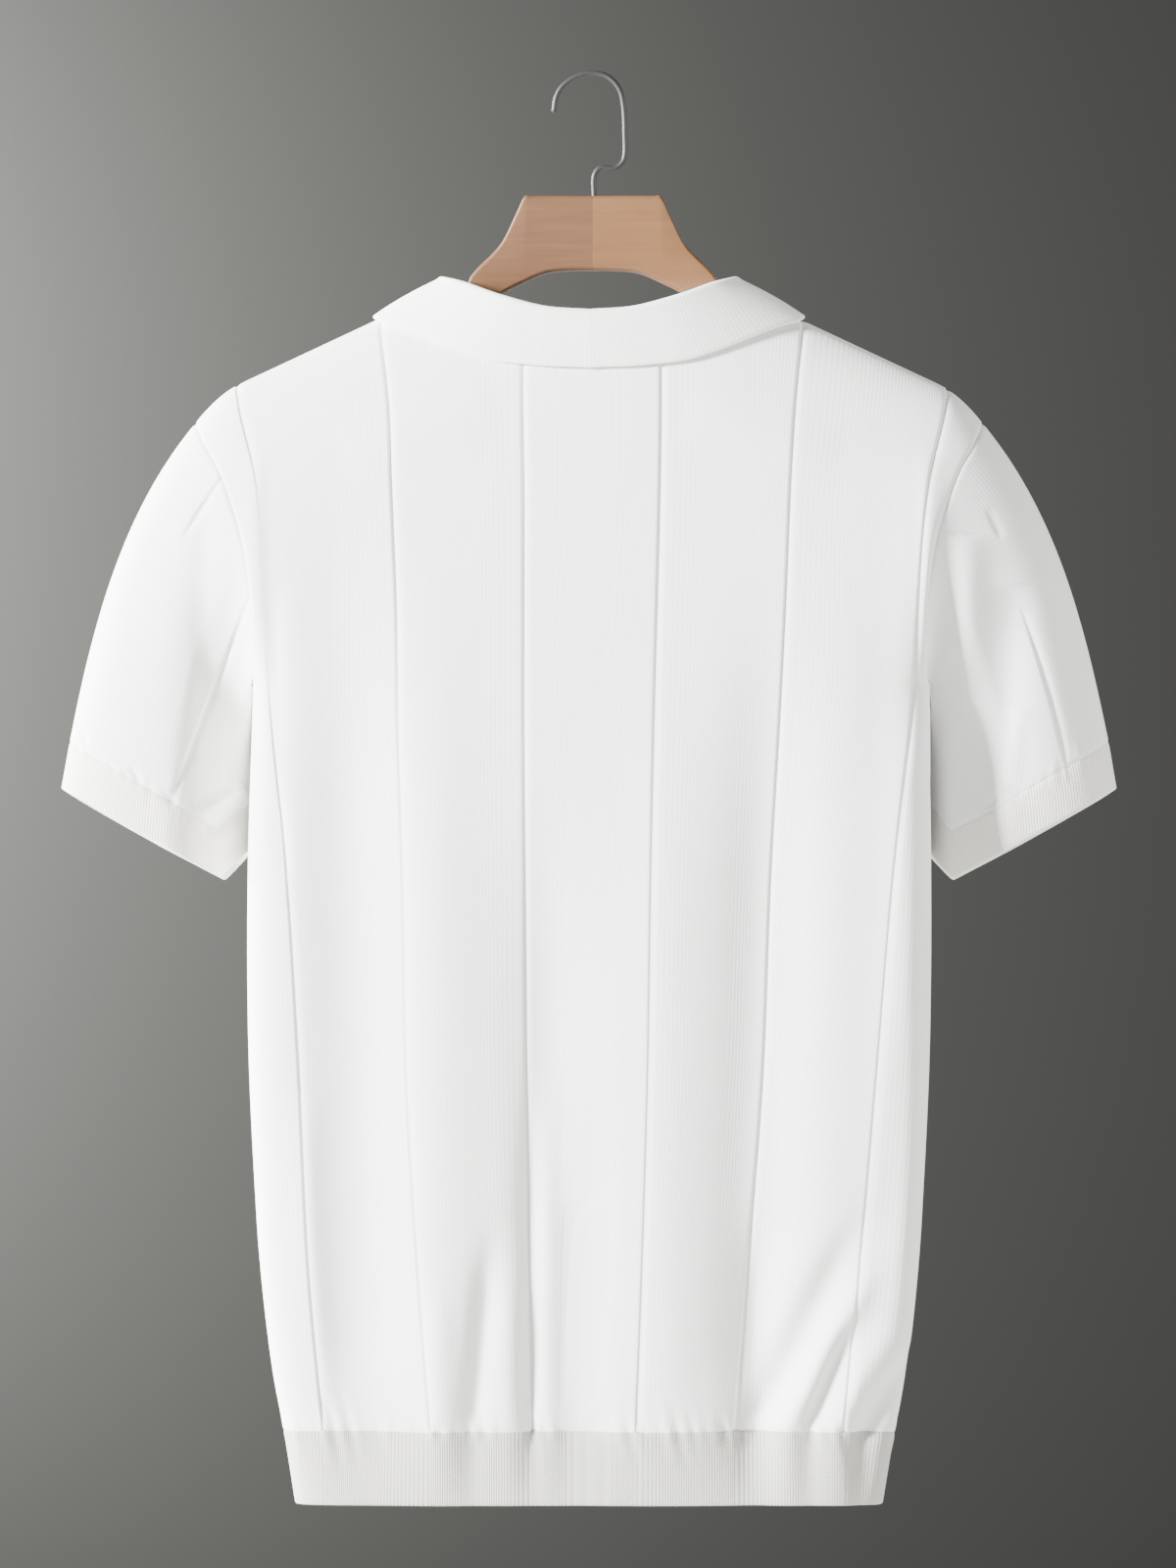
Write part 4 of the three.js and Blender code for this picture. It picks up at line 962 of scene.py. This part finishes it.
def armhole_edge(side, hand):
    """The armhole's edge on a panel, from the shoulder down, just as the panel's own rows have it."""
    rises = PANEL_RISE[(PANEL_RISE > 1.004) & (PANEL_RISE < 2)][::-1]
    between = (rises[:-1] + rises[1:]) / 2
    rises = np.sort(np.concatenate([rises, between]))[::-1]
    return rises, body_point(side, float(hand), rises), body_normal(side, float(hand), rises)


def sleeve_loop(hand):
    rises, back_edge, back_turn = armhole_edge(-1, hand)
    _, front_edge, front_turn = armhole_edge(1, hand)
    top = (body_point(-1, float(hand), 2.0) + body_point(1, float(hand), 2.0)) / 2
    top_turn = unit(body_normal(-1, float(hand), 2.0) + body_normal(1, float(hand), 2.0))
    under = body_point(-1, float(hand), 1.0) * (1, 0, 1)
    start = np.concatenate([top[None], back_edge, under[None], front_edge[::-1]])
    turn = np.concatenate([top_turn[None], back_turn, [[hand, 0, 0]], front_turn[::-1]])
    count = len(rises)
    steps = np.linalg.norm(np.roll(start, -1, 0) - start, axis=1)
    run = np.concatenate([[0], np.cumsum(steps)])
    low_at = run[count + 1]
    around = np.where(run[:-1] <= low_at, run[:-1] / low_at, 1 + (run[:-1] - low_at) / (run[-1] - low_at))
    low = (start[0, 2] - start[:, 2]) / (start[0, 2] - under[2])
    low = low[:, None]
    flip = np.array([hand, 1, 1])
    leaves = unit(
        (1 - low) ** 2 * np.array(LEAVES_SHOULDER) * flip
        + 2 * low * (1 - low) * np.array(LEAVES_MIDDLE) * flip
        + low**2 * np.array(LEAVES_UNDERARM) * flip
    )
    start = start + turn * ARMHOLE_CLEAR * low**2
    all_rises = np.concatenate([[2], rises, [1], rises[::-1]])
    return start, turn, leaves, around, all_rises


def cuff_point(hand, around):
    power = 2 / CUFF_ROUNDNESS
    rounded = lambda value: np.sign(value) * np.abs(value) ** power
    deep = rounded(np.sin(around * math.pi))
    out = CUFF_OUT + CUFF_HALF_ACROSS * rounded(np.cos(around * math.pi))
    pushed = CUFF_PUSHED_BY * ease((CUFF_PUSHED_FROM - out) / CUFF_PUSHED_OVER)
    outermost, innermost = CUFF_OUT + CUFF_HALF_ACROSS, CUFF_OUT - CUFF_HALF_ACROSS
    to_lowest = np.clip((outermost - out) / (outermost - CUFF_LOWEST_OUT), 0, 1)
    to_inner = np.clip((CUFF_LOWEST_OUT - out) / (CUFF_LOWEST_OUT - innermost), 0, 1)
    height = mix(CUFF_OUTER_HEIGHT, CUFF_LOWEST_HEIGHT, to_lowest)
    height = height + (CUFF_INNER_HEIGHT - CUFF_LOWEST_HEIGHT) * to_inner
    height = height - CUFF_FRONT_LOWER * np.clip(-deep, 0, 1)
    return points(hand * out, CUFF_MIDDLE_Y - CUFF_HALF_DEEP * deep + pushed, HEM_Z + height)


def bezier(start, first, second, end, t):
    t = t[..., None]
    return (start * (1 - t) ** 3 + 3 * first * t * (1 - t) ** 2
            + 3 * second * t**2 * (1 - t) + end * t**3)


def sleeve_grid(hand):
    start, turn, leaves, around, rises = sleeve_loop(hand)
    end = cuff_point(hand, around)
    inward = (1 - np.abs(1 - around))[:, None]
    flip = np.array([hand, 1, 1])
    arrives = unit((1 - inward) * np.array(ARRIVES_OUTER) * flip + inward * np.array(ARRIVES_INNER) * flip)
    reach = SLEEVE_REACH * np.linalg.norm(end - start, axis=1, keepdims=True)
    first, second = start + leaves * reach, end - arrives * reach
    even = np.linspace(0, 1, 60)[:, None] * np.ones(len(around))
    length = arc_along(bezier(start, first, second, end, even))[-1]
    seam = 1 - CUFF_HEIGHT / length
    upper = np.concatenate([[0, 0.003, 0.007, 0.012], np.linspace(0.02, 0.985, SLEEVE_ROW_COUNT),
                            [0.991, 0.996, 1]])
    lower = np.concatenate([[0, 0.03, 0.07], np.linspace(0.14, 1, CUFF_ROW_COUNT)])
    t = np.concatenate([upper[:, None] * seam, mix(seam, 1, lower[1:, None])])
    grid = bezier(start, first, second, end, t)
    normals = grid_normals(grid, tube=True)
    centre = grid.mean(axis=1, keepdims=True)
    normals = facing(normals, grid, centre)
    rows = len(upper)
    from_edge = arc_along(grid)
    soft = ease(from_edge / SLEEVE_SEAM_BLEND)[..., None]
    normals = unit(turn[None] * (1 - soft) + normals * soft)
    return grid, normals, rows, around, rises


def sleeve_out(hand, grid, around, rises, rows):
    x, height = grid[..., 0], grid[..., 2] - HEM_Z
    on_back = ease((around % 2 - 0.04) / 0.1) * ease((0.97 - around % 2) / 0.08)
    on_front = ease((around - 1.03) / 0.08) * ease((1.96 - around) / 0.1)
    out = np.zeros_like(x)
    for crease in rows_of(SLEEVE_CREASES[hand]):
        one = {key: np.array([value]) for key, value in crease.items()}
        weight = on_back if crease["back"] > 0 else on_front
        out += crease_out(one, x, height) * weight
    arc = arc_across(grid)
    for rise in SLEEVE_GROOVES:
        front_half = len(rises) // 2
        column = front_half + int(np.argmin(np.abs(rises[front_half:] - rise)))
        out[:rows] += groove_out(arc, arc[:, column:column + 1])[:rows]
    along = arc_along(grid)
    out += seam_out(along)
    out += BAND_SEAM_SHARE * seam_out(along - along[rows - 1:rows])
    out += CUFF_GATHER_SHARE * gather_out(arc, along - along[rows - 1:rows], 5 + hand)
    return out


for hand, which in ((-1, "left"), (1, "right")):
    grid, normals, rows, around, rises = sleeve_grid(hand)
    out = sleeve_out(hand, grid, around, rises, rows)
    outer = grid + normals * out[..., None] + shirt_shift
    inner_sleeve = outer - normals * CLOTH
    inner_cuff = outer - normals * RIB_CLOTH
    sleeve = shell(f"shirt_sleeve_{which}", outer[:rows], inner_sleeve[:rows], knit, tube=True)
    cuff = shell(f"shirt_cuff_{which}", outer[rows - 1:], inner_cuff[rows - 1:], rib, tube=True)
    finish_cloth(sleeve, f"sleeve_{which}")
    finish_cloth(cuff, f"cuff_{which}")


# The turned-down collar

def over_body(x, over, lift):
    """A point over the body: over is the angle from the underarm at the back, by the top, to the front."""
    top = shoulder_top(x)

    def place(angle):
        height = UNDERARM + (top - UNDERARM) * np.sin(angle)
        round_ = read(ARMHOLE, "height", "round", height)
        bulge = (1 - (np.abs(x) / round_) ** ROUNDNESS) ** (1 / ROUNDNESS)
        deep = read(BODY, "height", "back", float(UNDERARM))
        return points(x, -deep * np.cos(angle) * bulge, HEM_Z + height)

    slope = np.where(np.abs(x) < NECK_HALF, 0, SHOULDER_SLOPE)
    along = place(over + DEGREE) - place(over - DEGREE)
    across = points(np.where(x < 0, -1, 1), 0, -slope * np.sin(over))
    normal = unit(np.cross(across, along))
    normal = normal * np.where(normal[..., 2:] < 0, -1, 1)
    return place(over) + normal * lift, normal


def neckline(hand, at):
    """The neckline, from the middle of the back (at 0) by the shoulder to the middle of the front (at 1)."""
    back_part = at < COLLAR_SIDE_AT
    turn = np.where(back_part, at / COLLAR_SIDE_AT, (1 - at) / (1 - COLLAR_SIDE_AT))
    x = hand * NECK_HALF * np.sin(turn * math.pi / 2)
    over = np.where(back_part, dome_end(-1, x), math.pi - dome_end(1, x))
    edges = [grid[-1] for grid in (back_outer, front_outer)]
    back_point, front_point = (
        np.stack([np.interp(x, edge[:, 0], edge[:, k]) for k in range(3)], -1) for edge in edges
    )
    point = np.where(back_part[..., None], back_point, front_point)
    return point, over_body(x, over, 0)[1]


COLLAR_COLUMNS = 200
STAND_ROWS = 14
FOLD_ANGLES = np.linspace(0, 180, 11) * DEGREE
FALL_ROWS = 18


def collar_path(hand, at):
    value = lambda column: read(COLLAR, "at", column, at)
    seam, normal = neckline(hand, np.minimum(at, COLLAR_ENDS_AT))
    step = 0.004
    ahead = neckline(hand, np.minimum(at + step, COLLAR_ENDS_AT + step))[0]
    along = ahead - neckline(hand, np.maximum(at - step, 0))[0]
    past = unit(np.cross(along, normal))
    past = past * np.where(past[..., 2:] < 0, -1, 1)
    seam = seam + past * COLLAR_SEAM_CLEAR
    corner = COLLAR_CORNER_RISE * np.exp(-(((at - COLLAR_CORNER_AT) / COLLAR_CORNER_SPREAD) ** 2))
    seam = seam + points(0, 0, corner)
    turned = seam + past * COLLAR_SEAM_RISE + np.array([0, 0, COLLAR_SEAM_RISE])
    edge = over_body(hand * value("edge_x"), value("edge_over") * DEGREE, COLLAR_LIFT)[0]
    outward = unit((edge - seam) * np.array([1, 1, 0]))
    centre = points(hand * value("fold_x"), value("fold_y"),
                    HEM_Z + value("fold_height") - COLLAR_CLOTH - COLLAR_FOLD_RADIUS)
    up = np.array([0, 0, 1])
    folded = [centre + COLLAR_FOLD_RADIUS * (up * math.sin(a) - outward * math.cos(a)) for a in FOLD_ANGLES]
    stand = []
    for s in np.linspace(0, 1, STAND_ROWS, endpoint=False):
        stand.append(seam * (1 - s) ** 2 + 2 * turned * s * (1 - s) + folded[0] * s * s)
    fall = []
    for s in np.linspace(0, 1, FALL_ROWS)[1:]:
        bulge = COLLAR_FALL_BULGE * 4 * s * (1 - s)
        fall.append(folded[-1] * (1 - s) + edge * s + (outward + up) * bulge)
    return np.stack([*stand, *folded, *fall])


def collar():
    at = np.linspace(0, 1, COLLAR_COLUMNS // 2 + 1)
    left, right = collar_path(-1, at), collar_path(1, at)
    path = np.concatenate([left[:, :0:-1], right], axis=1)
    for _ in range(6):
        inside = (path[:-2] + path[2:]) / 2
        path[1:-1] = mix(path[1:-1], inside, 0.3)
    normals = grid_normals(path)
    top = STAND_ROWS + len(FOLD_ANGLES) // 2
    normals = normals * np.sign(normals[top, :, 2].mean())
    return path + normals * COLLAR_CLOTH + shirt_shift, path + shirt_shift


outer, inner = collar()
collar_piece = shell("shirt_collar", outer, inner, collar_knit)
finish_cloth(collar_piece, "collar")


# The placket and its buttons

def placket(name, lift, node):
    rises = np.linspace(1.06, PLACKET_TOP_RISE, 60)[:, None]
    u = np.linspace(-1, 1, 61)[None, :] * PLACKET_HALF_AT
    grid = body_point(1, u, rises)
    normals = grid_normals(grid)
    normals = normals * np.sign(normals[..., 1].mean())
    inner = grid + normals * lift + shirt_shift
    arc = arc_across(grid)
    from_edge = np.minimum(arc, arc[:, -1:] - arc)
    stitched = PLACKET_STITCH_DEPTH * np.exp(-(((from_edge - PLACKET_STITCH_AT) / PLACKET_STITCH_WIDTH) ** 2))
    band = shell(name, inner + normals * (CLOTH - stitched)[..., None], inner, knit)
    return finish_cloth(band, node)


placket("shirt_placket_over", PLACKET_CLEAR, "placket_over")
placket("shirt_placket_under", -2 * CLOTH - PLACKET_CLEAR, "placket_under")


BUTTON_PROFILE = [
    (4.7, 0), (5.2, 0.2), (5.5, 0.8), (5.5, 1.8), (5.25, 2.4), (4.7, 2.6), (4.1, 2.5), (3.6, 2.15), (3.2, 2.1),
]
BUTTON_SIDES = 48
BUTTON_LIFT = 0.6
HOLE_OUT = 1.25
HOLE_RADIUS = 0.65
HOLE_SIDES = 20
THREAD_RADIUS = 0.32
THREAD_LINE = [(-1, 1.2), (-1, 2.1), (-0.7, 2.5), (0, 2.6), (0.7, 2.5), (1, 2.1), (1, 1.2)]


def turned_ring(radius, height, sides, x=0.0, y=0.0):
    turns = np.arange(sides) * 2 * math.pi / sides
    return points(x + radius * np.cos(turns), y + radius * np.sin(turns), height)


def drill(piece, x, y):
    """Cuts one round hole through a button."""
    rings = [turned_ring(HOLE_RADIUS, height, HOLE_SIDES, x, y) for height in (-1, 4)]
    cutter = loft("cutter", np.stack(rings), button_shell)
    cut = piece.modifiers.new("hole", "BOOLEAN")
    cut.object = cutter
    cut.operation = "DIFFERENCE"
    cut.solver = "EXACT"
    whole = piece.evaluated_get(bpy.context.evaluated_depsgraph_get())
    drilled = bpy.data.meshes.new_from_object(whole)
    piece.modifiers.clear()
    piece.data = drilled
    bpy.data.objects.remove(cutter)


def button(name, height, node):
    rings = [turned_ring(radius, rise, BUTTON_SIDES) for radius, rise in BUTTON_PROFILE]
    piece = loft(name, np.stack(rings), button_shell)
    for x in (-HOLE_OUT, HOLE_OUT):
        for y in (-HOLE_OUT, HOLE_OUT):
            drill(piece, x, y)
    threads = []
    for which, y in (("upper", HOLE_OUT), ("lower", -HOLE_OUT)):
        line = [(x * HOLE_OUT, y, z) for x, z in THREAD_LINE]
        threads.append(tube_along(f"{name}_thread_{which}", line, THREAD_RADIUS, knit, sides=10))
    over = math.pi - math.asin((height - UNDERARM) / (float(shoulder_top(0.0)) - UNDERARM))
    point, normal = over_body(np.array(0.0), over, PLACKET_CLEAR + CLOTH + BUTTON_LIFT)
    turn = Vector(normal).to_track_quat("Z", "Y").to_matrix().to_4x4()
    turn.translation = Vector((point + shirt_shift) * MM)
    for made, slot in ((piece, "button"), (threads[0], "knit"), (threads[1], "knit")):
        made.data.transform(turn)
        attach(made, "root")
    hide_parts(node)


for i, height in enumerate(BUTTON_HEIGHTS):
    button(f"shirt_button_{i + 1}", height, f"button_{i + 1}")


# The hanger

def wood_ring(x, top, low):
    """A rounded oblong of the wood's section, in a plane across the arm."""
    half = (top - low) / 2
    middle = (top + low) / 2
    ring = []
    for corner, (y_sign, z_sign) in enumerate([(1, 1), (-1, 1), (-1, -1), (1, -1)]):
        for turn in np.linspace(0, 90, 9):
            angle = (corner * 90 + turn) * DEGREE
            y = y_sign * (WOOD_THICKNESS / 2 - WOOD_EDGE_RADIUS) + WOOD_EDGE_RADIUS * math.cos(angle)
            z = middle + z_sign * (half - WOOD_EDGE_RADIUS) + WOOD_EDGE_RADIUS * math.sin(angle)
            ring.append((x, y, z))
    return np.array(ring)


def hanger_half(hand):
    arm_top = lambda out: HEM_Z + float(shoulder_top(out + hand * -ASIDE)) - ARM_BELOW_CLOTH
    depth = lambda out: mix(ARM_HEIGHT_AT_NECK, ARM_HEIGHT_AT_END, (out - ARM_FROM) / (ARM_TO - ARM_FROM))
    arm_low = lambda out: arm_top(out) - depth(out)

    def level(rows, arm, out):
        if out >= ARM_FROM:
            return arm(out)
        full = {
            "out": np.append(rows["out"], [ARM_FROM, ARM_TO]),
            "z": np.append(rows["z"], [arm(ARM_FROM), arm(ARM_TO)]),
        }
        return float(read(full, "out", "z", out))

    stations = np.unique(np.concatenate([
        [0.05, 0.15, 1.5], np.arange(4, 38, 4), np.arange(38, 100, 1), np.arange(100, ARM_TO + 1, 3), [ARM_TO],
    ]))
    rings = [wood_ring(hand * x, level(HUMP_SIDE, arm_top, x), level(HANGER_ARCH, arm_low, x)) for x in stations]
    for past, drop, rise in ((2, 0.9, 0.4), (4, 3.0, 1.4), (5.5, 5.2, 2.8), (6.5, 7, 3.8)):
        rings.append(wood_ring(hand * (ARM_TO + past), arm_top(ARM_TO) - drop, arm_low(ARM_TO) + rise))
    return np.stack(rings)


for hand, which, wood in ((-1, "left", wood_left), (1, "right", wood_right)):
    half = loft(f"hanger_wood_{which}", hanger_half(hand), wood)
    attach(half, "root")
    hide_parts(f"hanger_{which}")


def smooth_line(rows, per_step):
    """A smooth line through a table's points, evenly spaced along its length."""
    line = np.stack([rows["x"], np.zeros(len(rows["x"])), rows["z"]], 1)
    run = np.concatenate([[0], np.cumsum(np.linalg.norm(np.diff(line, axis=0), axis=1))])
    along = np.linspace(0, run[-1], int(run[-1] / per_step) + 1)
    keyed = {"run": run, "x": line[:, 0], "z": line[:, 2]}
    return points(read(keyed, "run", "x", along), 0, read(keyed, "run", "z", along))


hook = tube_along("hanger_hook", smooth_line(HOOK_LINE, 1.0), WIRE_RADIUS, steel)
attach(hook, "root")
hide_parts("hook")


# The stage, the lights and the camera

STAGE_BEND = 2.5
STAGE_HEIGHT = 8.7
CAMERA_AT = Vector((-0.003, -6.0, -0.434))
VIEW_HEIGHT = 0.96
SENSOR = 36


def stage():
    """A round studio bowl: a flat floor that bends up into a wall all round."""
    profile = [(0.0, FLOOR_Z), (STAGE_RADIUS - STAGE_BEND, FLOOR_Z)]
    for k in range(1, 13):
        a = k / 12 * math.pi / 2
        profile.append((STAGE_RADIUS - STAGE_BEND + STAGE_BEND * math.sin(a),
                        FLOOR_Z + STAGE_BEND * (1 - math.cos(a))))
    profile.append((STAGE_RADIUS, FLOOR_Z + STAGE_HEIGHT))
    sides = 96
    vertices = [(0, 0, FLOOR_Z)]
    for radius, z in profile[1:]:
        for k in range(sides):
            a = k * 2 * math.pi / sides
            vertices.append((radius * math.cos(a), radius * math.sin(a), z))
    faces = [(0, 1 + k, 1 + (k + 1) % sides) for k in range(sides)]
    for ring in range(len(profile) - 2):
        base = 1 + ring * sides
        for k in range(sides):
            k2 = (k + 1) % sides
            faces.append((base + k, base + sides + k, base + sides + k2, base + k2))
    mesh = bpy.data.meshes.new("stage_bowl")
    mesh.from_pydata(vertices, [], faces)
    mesh.polygons.foreach_set("use_smooth", [True] * len(mesh.polygons))
    mesh.materials.append(stage_material())
    bowl = bpy.data.objects.new("stage_bowl", mesh)
    bpy.context.scene.collection.objects.link(bowl)


def area_light(name, place, aim, size, power, color=(1, 1, 1)):
    lamp = bpy.data.lights.new(name, "AREA")
    lamp.shape = "RECTANGLE"
    lamp.size, lamp.size_y = size
    lamp.energy = power
    lamp.color = color
    light = bpy.data.objects.new(name, lamp)
    light.location = place
    light.rotation_euler = (Vector(aim) - Vector(place)).to_track_quat("-Z", "Y").to_euler()
    bpy.context.scene.collection.objects.link(light)
    return light


stage()
MIDDLE = (0, 0, -0.43)
area_light("key", (-6.0, -2.7, 1.2), MIDDLE, (1.2, 1.2), 4250)
area_light("fill", (5.9, -1.7, 0.3), MIDDLE, (2.5, 2.5), 420)
area_light("front", (-5.4, 3.6, 1.2), MIDDLE, (1.2, 1.2), 2100)
area_light("wall", (-2.9, 11.73, 0.4), (-2.15, 13.0, 0.15), (1.0, 1.0), 6300)

world = bpy.data.worlds.new("studio")
world.use_nodes = True
world.node_tree.nodes["Background"].inputs["Color"].default_value = (0.93, 0.94, 0.95, 1)
world.node_tree.nodes["Background"].inputs["Strength"].default_value = 0.22
bpy.context.scene.world = world

camera_data = bpy.data.cameras.new("camera")
camera_data.sensor_width = SENSOR
camera_data.lens = SENSOR * -CAMERA_AT.y / VIEW_HEIGHT
camera_data.clip_end = 50
camera = bpy.data.objects.new("camera", camera_data)
camera.location = CAMERA_AT
camera.rotation_euler = (90 * DEGREE, 0, 0)
bpy.context.scene.collection.objects.link(camera)
bpy.context.scene.camera = camera
